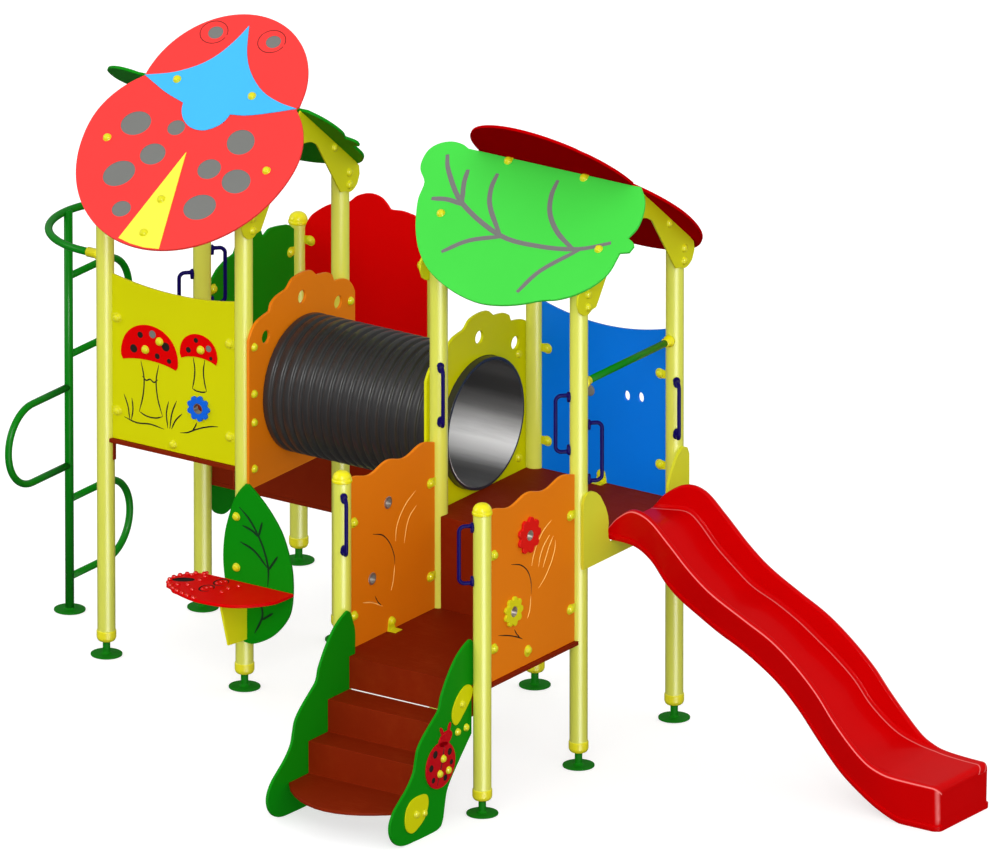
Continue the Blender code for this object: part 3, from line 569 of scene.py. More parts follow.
def groove(plane, points, width, core, depth=0.0022, tip=0.35):
    """Cutter for one engraved line, narrowed at both ends, and the colour it lays bare."""
    way = flowing(points)
    section = ((1.15, CLEAR), (1, 0.0002), (0.45, -depth))
    section += tuple((-reach, out) for reach, out in section[::-1])
    bm = bmesh.new()
    rows = []
    for index, spot in enumerate(way):
        share = index / (len(way) - 1)
        half = width / 2 * (tip + (1 - tip) * min(1, 5 * share, 5 * (1 - share)))
        along = way[min(index + 1, len(way) - 1)] - way[max(index - 1, 0)]
        side = Vector((-along.y, along.x)).normalized() * half
        rows.append([bm.verts.new(plane @ Vector((*(spot + side * reach), out))) for reach, out in section])
    return closed(bm, rows), core


def faced(points, out):
    """A 3D ring turned so that it runs with its inside on the left, seen from out."""
    area = Vector()
    for index, point in enumerate(points):
        area += points[index - 1].cross(point)
    return points if area.dot(out) > 0 else points[::-1]


def outlined(plane, outline, out, smooth=0, corner=60):
    """Closed outline of a drawing plane as a 3D ring at a height over it."""
    ring = [plane @ Vector((*point, out)) for point in outline]
    if smooth:
        ring = smoothed(ring, smooth, corner, 5)
    return faced(ring, plane.col[2].xyz)


def sunk(plane, outline, core, depth=0.002):
    """Cutter for a flat recess with an outline, and the colour it lays bare."""
    bm = bmesh.new()
    rows = [[bm.verts.new(point) for point in outlined(plane, outline, out)] for out in (-depth, CLEAR)]
    return closed(bm, rows), core


def arc(centre, across, up, first, last, steps, turn=0):
    """Points along part of an ellipse of a drawing plane, between two angles in degrees."""
    points = []
    for step in range(steps + 1):
        angle = radians(first + (last - first) * step / steps)
        a = across * cos(angle)
        b = up * sin(angle)
        x = a * cos(turn) - b * sin(turn)
        y = a * sin(turn) + b * cos(turn)
        points.append((centre[0] + x, centre[1] + y))
    return points


def oval(centre, across, up, turn=0, count=40):
    """Outline of an ellipse in a drawing plane."""
    return arc(centre, across, up, 0, 360, count, turn)[:-1]


def baked(obj):
    """The mesh that an object shows with its modifiers."""
    bpy.context.view_layer.update()
    return bpy.data.meshes.new_from_object(obj.evaluated_get(bpy.context.evaluated_depsgraph_get()))


def carved(bm, material, cuts):
    """The board with every cutter taken out of it. The cut faces show the cutter's own material."""
    blank = added("blank", meshed(bm, "blank", [material]))
    spares = [blank]
    for cutter, core in cuts:
        cut = blank.modifiers.new("cut", "BOOLEAN")
        cut.operation = "DIFFERENCE"
        cut.solver = "MANIFOLD"
        cut.material_mode = "TRANSFER"
        cut.object = added("cutter", meshed(cutter, "cutter", [core]))
        spares.append(cut.object)
    made = baked(blank)
    bm = bmesh.new()
    bm.from_mesh(made)
    for spare in spares:
        bpy.data.objects.remove(spare)
    return bm, list(made.materials)


def plate(plane, outline, thick, base=0, smooth=0, corner=60, ease=0.0015):
    """A flat piece that lies on a board."""
    ring = outlined(plane, outline, base + thick, smooth, corner)
    return slab([ring], plane.col[2].xyz.copy(), thick, ease)


def inlay(bm, *shape, **more):
    """Adds a flat piece that lies on a board."""
    bm.from_mesh(meshed(plate(*shape, **more), "inlay"))


cap_dome = turned([
    (0, -0.002), (0.0265, -0.002), (0.0265, 0.0030), (0.0240, 0.0042), (0.0232, 0.0095), (0.0190, 0.0160),
    (0.0105, 0.0205), (0, 0.0218),
], 32, 0.002)
LUG_THICK = 0.005
LUG_ARM = 0.024
LUG_ROUND = 0.032


def bolted(bm, plane, spots, height=0, size=1):
    """Adds a domed bolt cap at each spot of a drawing plane."""
    for spot in spots:
        stamp(cap_dome, plane @ shift(*spot, height) @ Matrix.Scale(size, 4), bm)


def lugged(bm, near, far, spots):
    """Adds a teardrop lug with its cap at each spot, on both faces. A spot ends with its reach to the post."""
    for plane, facing in ((near, 1), (far, -1)):
        for across, b, reach in spots:
            a = facing * across
            side = facing if reach > 0 else -facing
            end = a + facing * reach
            head = arc((a, b), side * LUG_ROUND, LUG_ROUND, 62, 298, 12)
            inlay(bm, plane, [(end, b - LUG_ARM), (end, b + LUG_ARM), *head], LUG_THICK, ease=0.001)
            bolted(bm, plane, [(a, b)], LUG_THICK)


def footed(bm, plane, a, b, foot):
    """Adds an angle bracket with its cap: a rounded tab on the board and a foot on the floor below."""
    tab = [(a - 0.038, b - foot), *arc((a, b), 0.029, 0.029, 162, 18, 8), (a + 0.038, b - foot)]
    inlay(bm, plane, tab, LUG_THICK, ease=0.001)
    ground = plane @ shift(a, b - foot) @ Matrix.Rotation(-pi / 2, 4, "X")
    sole = [(-0.034, -0.058), (0.034, -0.058), (0.038, 0), (-0.038, 0)]
    inlay(bm, ground, sole, LUG_THICK, ease=0.001)
    bolted(bm, plane, [(a, b)], LUG_THICK, 1.1)


cap_yellow = powder_coat("lime_yellow_cap", tint(214, 212, 22), 0.30, 0.5, 0.08)


def gathered(name, parts, material=cap_yellow, slot="post_yellow"):
    """One piece made of several parts. Each is the helper that adds it and what that helper needs."""
    bm = bmesh.new()
    for add, *given in parts:
        add(bm, *given)
    piece(name, bm, material, slot=slot)


yellow_board = board_plastic("yellow_board", tint(204, 204, 0))
red_board = board_plastic("red_board", tint(214, 0, 2), shine=0.04)
grey_core = board_plastic("grey_core", tint(114, 115, 112), 0.55)
black_core = board_plastic("black_core", tint(34, 30, 26), 0.55)
FRONT = wall(0, -THICK / 2, 1, 0)
stem_lines = (
    ((0.262, 1.905), (0.285, 1.800), (0.277, 1.690), (0.250, 1.585)),
    ((0.392, 1.905), (0.372, 1.800), (0.384, 1.690), (0.418, 1.585)),
    ((0.250, 1.585), (0.300, 1.566), (0.366, 1.566), (0.418, 1.585)),
    ((0.272, 1.812), (0.300, 1.790), (0.328, 1.802), (0.356, 1.788), (0.386, 1.810)),
    ((0.640, 2.002), (0.652, 1.930), (0.646, 1.860), (0.634, 1.806)),
    ((0.724, 2.002), (0.714, 1.930), (0.722, 1.860), (0.736, 1.806)),
    ((0.634, 1.806), (0.662, 1.796), (0.708, 1.796), (0.736, 1.806)),
    ((0.470, 1.520), (0.486, 1.620), (0.520, 1.705)),
    ((0.482, 1.520), (0.512, 1.580), (0.560, 1.632)),
    ((0.456, 1.520), (0.446, 1.610), (0.462, 1.690)),
    ((0.180, 1.520), (0.168, 1.600), (0.140, 1.672)),
    ((0.192, 1.520), (0.204, 1.590), (0.196, 1.660)),
    ((0.545, 1.509), (0.599, 1.522), (0.649, 1.548), (0.709, 1.574), (0.769, 1.593), (0.819, 1.602)),
    ((0.665, 1.598), (0.651, 1.566), (0.633, 1.541)),
    ((0.140, 1.530), (0.230, 1.510), (0.330, 1.520), (0.430, 1.508)),
)
cuts = [groove(FRONT, line, 0.010, black_core) for line in stem_lines]
board("front_panel", yellow_board, "board_yellow", cuts)


def toadstool(middle, base, half, height):
    """Outline of a toadstool cap."""
    points = []
    for step in range(13):
        angle = pi * (1 - step / 12)
        points.append((middle + half * cos(angle), base + height * sin(angle) ** 0.85))
    for side, drop in ((0.93, 0.030), (0.55, 0.012), (0, 0.004), (-0.55, 0.012), (-0.93, 0.030)):
        points.append((middle + half * side, base - drop))
    return points


LIFT = 0.006
for name, outline, dots in (
    ("toadstool_large", toadstool(0.327, 1.925, 0.205, 0.215),
     ((0.215, 1.975, 0.026), (0.262, 2.070, 0.020), (0.350, 2.090, 0.024), (0.446, 2.030, 0.028),
      (0.470, 1.945, 0.016), (0.385, 1.960, 0.018))),
    ("toadstool_small", toadstool(0.682, 2.015, 0.135, 0.140),
     ((0.610, 2.045, 0.018), (0.664, 2.115, 0.016), (0.755, 2.080, 0.020), (0.772, 2.022, 0.012))),
):
    cuts = []
    for index, (x, z, radius) in enumerate(dots):
        core = grey_core if index == 2 else black_core
        cuts.append(sunk(FRONT @ shift(0, 0, LIFT), oval((x, z), radius, radius), core, 0.0016))
    piece(name, *carved(plate(FRONT, outline, LIFT, 0, 3), red_board, cuts), slot="board_red")
INSIDE = wall(0, THICK / 2, -1, 0)
gathered("front_panel_fixings", [
    (bolted, FRONT, [(0.300, 1.985), (0.402, 2.055), (0.700, 2.062)], LIFT),
    (lugged, FRONT, INSIDE, [
        (0.094, 2.142, -0.045), (0.094, 1.558, -0.045), (0.904, 2.140, 0.045), (0.904, 1.556, 0.045),
    ]),
    (bolted, FRONT, [(0.494, 1.426)]), (footed, INSIDE, -0.494, 1.426, 0.0455),
])


# Stair panels
# Two orange boards with a wavy top, one each side of the stair landing, engraved with grass and stems.

orange_board = board_plastic("orange_board", tint(224, 122, 12))
cream_core = board_plastic("cream_core", tint(250, 196, 108), 0.55)
PALE_RIGHT = (
    ((-0.296, 1.627), (-0.380, 1.586), (-0.442, 1.525), (-0.484, 1.457), (-0.501, 1.402)),
    ((-0.313, 1.541), (-0.376, 1.492), (-0.413, 1.436), (-0.430, 1.376)),
    ((-0.276, 1.523), (-0.317, 1.475), (-0.355, 1.411), (-0.384, 1.357)),
    ((-0.255, 1.489), (-0.263, 1.434), (-0.296, 1.369), (-0.355, 1.298), (-0.430, 1.240)),
    ((-0.509, 1.215), (-0.521, 1.135), (-0.546, 1.085)),
)
DARK_RIGHT = (
    ((-0.713, 1.472), (-0.617, 1.441), (-0.546, 1.385), (-0.509, 1.307), (-0.507, 1.225)),
    ((-0.846, 1.069), (-0.742, 1.038), (-0.659, 1.005), (-0.596, 0.974)),
    ((-0.680, 1.057), (-0.659, 1.025), (-0.621, 0.987)),
)
PALE_LEFT = (
    ((-0.254, 1.595), (-0.346, 1.549), (-0.420, 1.479), (-0.455, 1.410), (-0.460, 1.340)),
    ((-0.245, 1.500), (-0.311, 1.459), (-0.350, 1.392), (-0.372, 1.301)),
    ((-0.470, 1.190), (-0.486, 1.103), (-0.508, 1.045)),
    ((-0.801, 1.055), (-0.705, 1.029), (-0.595, 0.973)),
)
DARK_LEFT = (
    ((-0.696, 1.453), (-0.595, 1.417), (-0.521, 1.345), (-0.477, 1.259), (-0.469, 1.198)),
    ((-0.675, 1.060), (-0.643, 1.013), (-0.610, 0.982)),
)
for node, x, pale, dark in (
    ("stair_panel_right", 3.409, PALE_RIGHT, DARK_RIGHT),
    ("stair_panel_left", 2.409, PALE_LEFT, DARK_LEFT),
):
    plane = wall(x, 0, 0, 1)
    back = wall(x - THICK, 0, 0, -1)
    cuts = [groove(plane, line, 0.008, cream_core) for line in pale]
    cuts += [groove(plane, line, 0.008, black_core) for line in dark]
    board(node, orange_board, "board_orange", cuts)
    parts = [(lugged, plane, back, [
        (-0.895, 1.585, -0.055), (-0.895, 1.002, -0.055), (-0.105, 1.597, 0.055), (-0.105, 1.012, 0.055),
    ])]
    if node == "stair_panel_left":
        parts.append((footed, plane, -0.510, 0.856, 0.0555))
    else:
        parts += [
            (bolted, plane, [(-0.545, 0.890)], 0.004),
            (inlay, plane, oval((-0.545, 0.884), 0.034, 0.036), 0.004),
            (footed, back, 0.510, 0.856, 0.0555),
        ]
    gathered(node + "_fixings", parts)


# Tunnel panels
# Orange and yellow boards with a scalloped top and a round mouth, bolted to the posts' sides.

board("tunnel_panel_left", orange_board, "board_orange")
board("tunnel_panel_right", yellow_board, "board_yellow")
for node, x, side in (("tunnel_panel_left", 1.0723, 1), ("tunnel_panel_right", 2.3277, -1)):
    outer = [(side * y, z) for y in (0, 1) for z in (2.150, 1.857, 1.678, 1.387)]
    inner = [(-side * y, z) for y in (0.094, 0.906) for z in (2.100, 1.450)]
    gathered(node + "_fixings", [
        (bolted, wall(x, 0, 0, side), outer), (bolted, wall(x - THICK * side, 0, 0, -side), inner),
    ])


# Back panels
# Blue, green and red boards that close the towers and the rear landing, in lugs like the front one.

blue_board = board_plastic("blue_board", tint(0, 116, 228))
green_board = board_plastic("green_board", tint(8, 132, 10), shine=0.06)
for node, material, slot in (
    ("back_panel_right", blue_board, "board_blue"),
    ("back_end_panel", red_board, "board_red"),
    ("back_side_panel", green_board, "board_green"),
):
    board(node, material, slot)
BLUE = wall(0, 0.991, 1, 0)
gathered("blue_panel_fixings", [
    (lugged, BLUE, wall(0, 1.009, -1, 0), [
        (2.497, 2.140, -0.045), (2.497, 1.560, -0.045), (3.303, 2.146, 0.045), (3.303, 1.576, 0.045),
    ]),
    (footed, BLUE, 2.885, 1.432, 0.0515),
])
button = turned([(0, 0), (0.036, 0), (0.036, 0.008), (0.028, 0.012), (0, 0.012)], ease=0.003)
piece("blue_panel_button", stamp(button, BLUE @ shift(2.800, 1.940)), grey_core, slot="board_blue")
for name, near, far, first, last, heights in (
    ("red_panel_fixings", wall(0, 1.991, 1, 0), wall(0, 2.009, -1, 0), 0.097, 0.903, (2.050, 1.050)),
    ("green_panel_fixings", wall(0.009, 0, 0, 1), wall(-0.009, 0, 0, -1), 1.097, 1.903, (1.985, 1.050)),
):
    spots = [spot for z in heights for spot in ((first, z, -0.045), (last, z, 0.045))]
    gathered(name, [(lugged, near, far, spots)])


# Stringers
# Green wavy side boards of the stair. The outer one carries two yellow drops and a small red beetle,
# each a separate piece of board held by bolt caps.

board("stringer_left", green_board, "board_green")
board("stringer_right", green_board, "board_green")
SIDE = wall(3.3457, 0, 0, 1)
DROP = 0.008
gathered("stringer_drops", [(inlay, SIDE, outline, DROP, 0, 4, 70) for outline in (
    [
        (-1.063, 0.815), (-1.030, 0.785), (-1.036, 0.742), (-1.075, 0.696), (-1.126, 0.650), (-1.172, 0.612),
        (-1.206, 0.604), (-1.236, 0.640), (-1.236, 0.700), (-1.200, 0.760), (-1.150, 0.802), (-1.105, 0.820),
    ], [
        (-1.555, 0.275), (-1.502, 0.259), (-1.486, 0.210), (-1.518, 0.130), (-1.581, 0.085), (-1.650, 0.064),
        (-1.703, 0.090), (-1.724, 0.144), (-1.713, 0.220), (-1.660, 0.268),
    ],
)], yellow_board, "board_yellow")
BEETLE = 0.010
BEETLE_TOP = SIDE @ shift(0, 0, BEETLE)
deep_red_board = board_plastic("deep_red_board", tint(182, 0, 18), shine=0.10)
cuts = [groove(BEETLE_TOP, ((-1.325, 0.520), (-1.356, 0.400), (-1.400, 0.285)), 0.010, black_core)]
for y, z, radius in (
    (-1.272, 0.462, 0.022), (-1.420, 0.485, 0.024), (-1.255, 0.392, 0.017), (-1.462, 0.410, 0.022),
    (-1.318, 0.312, 0.020), (-1.440, 0.330, 0.018),
):
    cuts.append(sunk(BEETLE_TOP, oval((y, z), radius, radius, 0, 24), black_core))
back = plate(SIDE, oval((-1.362, 0.402), 0.150, 0.142, 0, 64), BEETLE, ease=0.002)
piece("stringer_beetle", *carved(back, deep_red_board, cuts), slot="board_red")
gathered("stringer_beetle_head", [
    (inlay, SIDE, oval((-1.312, 0.552), 0.070, 0.042, 0.3), BEETLE, 0, 0, 60, 0.002),
    (inlay, SIDE, oval((-1.345, 0.606), 0.013, 0.030, 0.45), 0.007),
    (inlay, SIDE, oval((-1.268, 0.612), 0.013, 0.030, -0.45), 0.007),
], deep_red_board, "board_red")
gathered("stringer_fixings", [
    (bolted, SIDE, [(-1.140, 0.719), (-1.612, 0.170)], DROP, 0.9),
    (bolted, SIDE, [(-1.178, 0.553), (-1.090, 0.556)], 0, 0.9),
    (bolted, SIDE, [(-1.340, 0.437), (-1.286, 0.350), (-1.376, 0.352)], BEETLE, 0.9),
    (bolted, SIDE, [(-1.530, 0.154)], DROP, 0.8),
])


# Leaf seat
# A green leaf board bolted to the post, a red seat board on it and a yellow gusset below.
# The leaf's veins are engraved. The seat's head has a dark patch, a ring and rows of small studs.

LEAF = wall(0, -0.0723, 1, 0)
leaf_veins = (
    ((1.219, 0.697), (1.223, 0.807), (1.197, 0.908), (1.154, 0.998), (1.089, 1.091), (1.015, 1.156)),
    ((1.037, 1.046), (1.106, 1.026), (1.154, 0.994)),
    ((1.180, 1.094), (1.154, 0.998)),
    ((1.020, 0.940), (1.124, 0.901), (1.223, 0.807)),
    ((1.292, 0.901), (1.223, 0.800)),
    ((1.163, 0.600), (1.180, 0.503), (1.124, 0.385)),
    ((1.258, 0.538), (1.178, 0.480)),
)
deep_green_core = board_plastic("deep_green_core", tint(8, 54, 22), 0.55)
cuts = [groove(LEAF, line, 0.016, deep_green_core) for line in leaf_veins]
board("leaf_back_plate", green_board, "board_green", cuts)
gathered("leaf_plate_fixings", [(bolted, LEAF, [(0.994, 1.093), (0.994, 0.774)])])
# Painted light: the gusset's board is a lighter copy of the yellow board, to offset the shade under the seat.
board("seat_gusset", board_plastic("gusset_painted_light_yellow", tint(244, 240, 24)), "board_yellow")
SEAT_TOP = 0.69
UP = Vector((0, 0, 1))
SEAT = face_of((0, 0, SEAT_TOP), (1, 0, 0), (0, 1, 0))
seat_rings = ((0.925, -0.281), (0.938, -0.150))
cuts = [sunk(SEAT, oval((0.725, -0.236), 0.068, 0.036, 0.6), black_core, 0.003)]
for spot in seat_rings:
    cuts.append(groove(SEAT, oval(spot, 0.041, 0.057, 0.15, 20)[:19], 0.012, black_core))
board("seat_board", red_board, "board_red", cuts)
rim = drawn_in(smoothed(faced(rims("seat_board")[0][0], UP)), UP, 0.010)
studs = []
walked = 0
for before, spot in zip(rim, rim[1:]):
    walked += (spot - before).length
    if walked > 0.046 and spot.x < 0.98:
        studs.append((spot.x, spot.y, 1))
        walked = 0
studs += [(x, y, 0.85) for x, y in (
    (0.719, -0.143), (0.772, -0.062), (0.800, -0.118), (0.812, -0.190), (0.800, -0.296), (0.748, -0.330),
    (0.870, -0.352), (1.035, -0.215), (1.062, -0.148), (1.040, -0.290),
)]
for x, y in seat_rings:
    studs += [(x, y, 0.62), (x + 0.014, y + 0.027, 0.62), (x - 0.012, y - 0.028, 0.62)]
stud = turned([(0, -0.004), (0.0150, -0.004), (0.0150, 0.002), (0.0120, 0.0100), (0, 0.0145)], 20, 0.003)
bm = bmesh.new()
for x, y, size in studs:
    stamp(stud, shift(x, y, SEAT_TOP) @ Matrix.Scale(size, 4), bm)
stud_red = powder_coat("red_stud_gloss", tint(214, 4, 6), 0.30, 1, 0.14, 0)
piece("seat_studs", bm, stud_red, slot="board_red")


# Roofs
# Four shaped boards on two pitched frames: a coral beetle and a green leaf on the left tower,
# a light green leaf and a red beetle on the right one. Blue and yellow boards lie on the first.

PITCH_DOWN = radians(40)
RIDGE = 3.483


def roof_face(post_x, side):
    """Drawing plane on a roof board's outer face. Up the slope is up in it."""
    up = (0, -side * cos(PITCH_DOWN), sin(PITCH_DOWN))
    return face_of((post_x, MIDDLE_Y, RIDGE), (-side, 0, 0), up) @ shift(0, 0, THICK)


LEFT_FRONT = roof_face(0, -1)
LEFT_BACK = roof_face(0, 1)
RIGHT_FRONT = roof_face(2.4, -1)
RIGHT_BACK = roof_face(2.4, 1)


def beetle_cuts(plane):
    """Round spots and ringed eyes sunk in a beetle's back."""
    cuts = []
    for x, down, across, up, lean in (
        (0.060, 0.330, 0.082, 0.070, 0.2), (0.275, 0.505, 0.070, 0.062, 0), (0.125, 0.680, 0.086, 0.074, 0.5),
        (0.335, 0.300, 0.048, 0.044, 0), (0.800, 0.300, 0.080, 0.070, -0.4), (0.690, 0.520, 0.064, 0.058, 0),
        (0.905, 0.560, 0.082, 0.068, -0.2), (0.760, 0.780, 0.088, 0.074, 0.2), (0.262, 0.905, 0.052, 0.046, 0),
    ):
        cuts.append(sunk(plane, oval((x, -down), across * 1.2, up * 1.2, lean), grey_core))
    for x, down in ((0.248, -0.375), (0.652, -0.398)):
        cuts.append(groove(plane, oval((x, -down), 0.092, 0.078, 0, 28), 0.005, black_core, 0.001, 1))
        cuts.append(sunk(plane, oval((x + 0.012, -down), 0.050, 0.043), grey_core))
    return cuts


coral_board = board_plastic("coral_board", tint(238, 58, 56))
board("roof_left_front", coral_board, "board_coral", beetle_cuts(LEFT_FRONT))
collar = plate(LEFT_FRONT, [
    (-0.050, -0.005), (0.134, 0.057), (0.278, 0.148), (0.358, 0.238), (0.421, 0.362), (0.455, 0.466),
    (0.535, 0.286), (0.626, 0.166), (0.771, 0.059), (0.909, 0.014), (1.046, -0.003), (0.900, -0.065),
    (0.739, -0.122), (0.638, -0.137), (0.623, -0.194), (0.585, -0.242), (0.516, -0.281), (0.426, -0.279),
    (0.350, -0.233), (0.311, -0.178), (0.296, -0.130), (0.147, -0.088), (0.048, -0.047),
], LIFT, 0, 4, 42)
piece("beetle_collar", collar, board_plastic("sky_blue_board", tint(64, 176, 238)), slot="board_blue")
wedge = plate(LEFT_FRONT, [
    (0.487, -0.445), (0.347, -1.100), (0.440, -1.118), (0.540, -1.124), (0.644, -1.112),
], LIFT)
piece("beetle_wedge", wedge, board_plastic("lemon_board", tint(238, 232, 70)), slot="board_yellow")
board("roof_left_back", green_board, "board_green")
leaf_roof_veins = (
    ((1.108, -0.407), (0.915, -0.496), (0.658, -0.534), (0.373, -0.520), (0.033, -0.373), (-0.167, -0.185),
     (-0.235, -0.076)),
    ((0.558, -0.081), (0.568, -0.190), (0.622, -0.310), (0.735, -0.420), (0.890, -0.505)),
    ((0.151, -0.125), (0.160, -0.230), (0.215, -0.350), (0.375, -0.520)),
    ((-0.051, -0.143), (-0.030, -0.240), (0.022, -0.362)),
    ((-0.187, -0.383), (-0.080, -0.366), (0.040, -0.378)),
    ((0.058, -0.712), (0.196, -0.599), (0.395, -0.524)),
    ((0.676, -0.861), (0.753, -0.688), (0.930, -0.496)),
)
light_green_board = board_plastic("light_green_board", tint(66, 206, 68))
cuts = [groove(RIGHT_FRONT, line, 0.034, grey_core, 0.0015, 0.75) for line in leaf_roof_veins]
board("roof_right_front", light_green_board, "board_light_green", cuts)
# Painted shade: this is a darker copy of the red board, matching the roof's shaded underside.
shaded_red_roof_board = board_plastic("shaded_red_roof_board", tint(178, 0, 2), 0.60, 0)
board("roof_right_back", shaded_red_roof_board, "board_red", beetle_cuts(RIGHT_BACK @ shift(-1.11, 0)))
for name, front, back, low, high, side, last, lift in (
    ("roof_left_fixings", LEFT_FRONT, LEFT_BACK, LEFT_BACK, LEFT_FRONT, -1, (1.064, -0.446), LIFT),
    ("roof_right_fixings", RIGHT_FRONT, RIGHT_BACK, RIGHT_FRONT, RIGHT_BACK, 1, (1.050, -0.465), 0),
):
    parts = [(bolted, front, [(-0.075, -0.465), last]), (bolted, back, [(0.075, -0.465), (-1.050, -0.465)])]
    for a in (side * 0.178, side * 0.718):
        tab = [(a - 0.024, -0.003), *arc((a, -0.030), -0.024, -0.024, 0, 180, 8), (a + 0.024, -0.003)]
        parts += [
            (inlay, low, tab, 0.004), (bolted, low, [(a, -0.030)], 0.004),
            (bolted, high, [(-a, 0.012)], lift),
        ]
    if lift:
        parts.append((bolted, front, [(0.490, -0.788), (0.493, -1.030)], lift))
    gathered(name, parts, slot="gable_yellow")


# Gables
# Yellow coated steel plates, arched between two posts of a tower, that carry the roof boards.

gable_coat = powder_coat("gable_yellow_coat", tint(210, 210, 8), 0.42, 0.1)
for node in ("gable_left_outer", "gable_left_inner", "gable_right_inner", "gable_right_outer"):
    board(node, gable_coat, "gable_yellow", ease=0.0015, corner=30)
parts = []
for x, side in ((-0.0663, -1), (1.0663, 1), (2.3337, -1), (3.4663, 1)):
    spots = [(side * y, z) for y in (0, 1) for z in (2.957, 2.879)]
    spots += [(side * y, 3.156) for y in (0.153, 0.847)]
    parts.append((bolted, wall(x, 0, 0, side), spots))
gathered("gable_bolts", parts, slot="gable_yellow")


# Crawl tunnel
# A blow-moulded black pipe with round ribs outside and a smooth bore, with a plain cuff at each end.
# The bore's lining carries a painted reflection: a bright band across it by height, dark above and below.

def pipe_plastic(name, colour, roughness, metal):
    """Hard smooth surface, streaked along its length."""
    paint = Paint(bpy.data.materials.new(name))
    streak = paint.noise(6, 5, 0.6, paint.stretched(0.3, 3, 3))
    paint.set(
        base_color=paint.mixed(streak, scaled(colour, 0.80), scaled(colour, 1.30)), metallic=metal,
        roughness=streak * 0.14 + roughness, coat_weight=0.4, coat_roughness=0.18,
    )
    paint.bumped(paint.noise(500), 0.0001, 0.4)
    return paint.owner


TUNNEL_FROM = 1.0543
TUNNEL_TO = 2.3457
TUNNEL_HEIGHT = 1.79
CUFF = 0.405
RIB = 0.42
BORE = 0.385
RIBS = 18
rib_from = TUNNEL_FROM + 0.0183
rib_to = TUNNEL_TO - 0.0183
rib_pitch = (rib_to - rib_from) / RIBS
outside = [(CUFF, TUNNEL_FROM), (CUFF, rib_from)]
for rib in range(RIBS):
    for share, lift in (
        (0.03, 0), (0.07, 0.16), (0.11, 0.60), (0.16, 0.90), (0.24, 1), (0.62, 1), (0.69, 0.90),
        (0.74, 0.60), (0.79, 0.16), (0.84, 0),
    ):
        outside.append((CUFF + (RIB - CUFF) * lift, rib_from + (rib + share) * rib_pitch))
outside += [
    (CUFF, rib_to), (CUFF, TUNNEL_TO), (BORE + 0.004, TUNNEL_TO), (BORE + 0.004, TUNNEL_FROM),
    (CUFF, TUNNEL_FROM),
]


def lying(x, turn=pi / 2):
    """Place on the tunnel's axis, with Z turned along it."""
    return shift(x, MIDDLE_Y, TUNNEL_HEIGHT) @ Matrix.Rotation(turn, 4, "Y")


black_pipe = pipe_plastic("black_ribbed_pipe", tint(33, 33, 34), 0.42, 0)
ribbed = stamp(turned(outside, 128), lying(0))
piece("tunnel_ribbed_tube", ribbed, black_pipe, replaces=("tunnel_tube",), slot="tunnel_black")
bore = Paint(bpy.data.materials.new("bore_painted_reflection"))
height = bore.node("SeparateXYZ", {0: bore.place}, 2)
rub = bore.noise(9, 5, 0.6, bore.stretched(0.2, 2, 2))
# Painted reflection: this ramp over height lays a bright band low in the bore, dark below it and towards the
# top.
gleam = bore.node("ValToRGB", {0: bore.ranged(height, 1.405, 2.175, 0, 1) + (rub - 0.5) * 0.05})
elements = gleam.socket.node.color_ramp.elements
stops = [
    (0, tint(54, 54, 54)), (0.05, tint(96, 96, 96)), (0.12, tint(206, 206, 206)), (0.20, tint(255, 255, 255)),
    (0.29, tint(214, 214, 214)), (0.42, tint(118, 118, 118)), (0.58, tint(60, 60, 60)), (1, tint(40, 40, 40)),
]
while len(elements) < len(stops):
    elements.new(0.5)
for element, (spot, shade) in zip(elements, stops):
    element.position = spot
    element.color = shade
bore.set(
    base_color=bore.mixed((rub - 0.5) * 0.4 + 0.03, gleam, tint(60, 60, 60)), roughness=rub * 0.2 + 0.22,
    metallic=0.08,
)
bore.bumped(rub, 0.0006, 0.3)
lining_from = TUNNEL_FROM - 0.0455
lining_to = TUNNEL_TO + 0.0455
lining = turned([
    (BORE, lining_from), (BORE + 0.0035, lining_from), (BORE + 0.0035, lining_to), (BORE, lining_to),
    (BORE, lining_from),
], 128)
piece("tunnel_bore_lining", stamp(lining, lying(0)), bore.owner, slot="tunnel_black")
cuff = turned([
    (0.3890, -0.004), (0.404, -0.004), (0.404, 0.046), (0.3890, 0.046), (0.3890, -0.004),
], 128, 0.004)
bm = stamp(cuff, lying(TUNNEL_TO))
stamp(cuff, lying(TUNNEL_FROM, -pi / 2), bm)
piece("tunnel_end_cuffs", bm, black_pipe, slot="tunnel_black")


# Slide
# One rotomoulded red shell: high side walls with a rounded crest, a wavy chute between them,
# a turned-out foot rim along the lower edge, and a box-shaped end open underneath. Its gloss is finely
# scratched down the chute. Thin pale lines along the crests and the chute's far fillet, and down the end's
# upright corners, are a painted highlight.

SLIDE_COLOUR = tint(194, 0, 2)
gloss = Paint(bpy.data.materials.new("slide_red_plastic"))
wave = gloss.noise(5)
rub = gloss.noise(60, 6, 0.7, gloss.stretched(0.08, 1, 0.3))
mark = gloss.ranged(rub, 0.62, 0.80, 0, 0.08)
# Painted highlight: a vertex attribute mixes pale red into thin lines along the crests and the far fillet, and
# down the end's upright corners.
painted_highlight = gloss.node("Attribute", output="Fac", attribute_name="painted_highlight_edge")
base = gloss.mixed(wave, scaled(SLIDE_COLOUR, 0.95), scaled(SLIDE_COLOUR, 1.04))
base = gloss.mixed(mark, base, tint(228, 60, 54))
gloss.set(
    base_color=gloss.mixed(painted_highlight * 0.75, base, tint(255, 150, 146)), specular=0.02,
    roughness=mark * 0.9 + 0.30 + wave * 0.06, coat_weight=0.10, coat_roughness=0.10,
)
gloss.bumped(wave, 0.0008, 0.3)


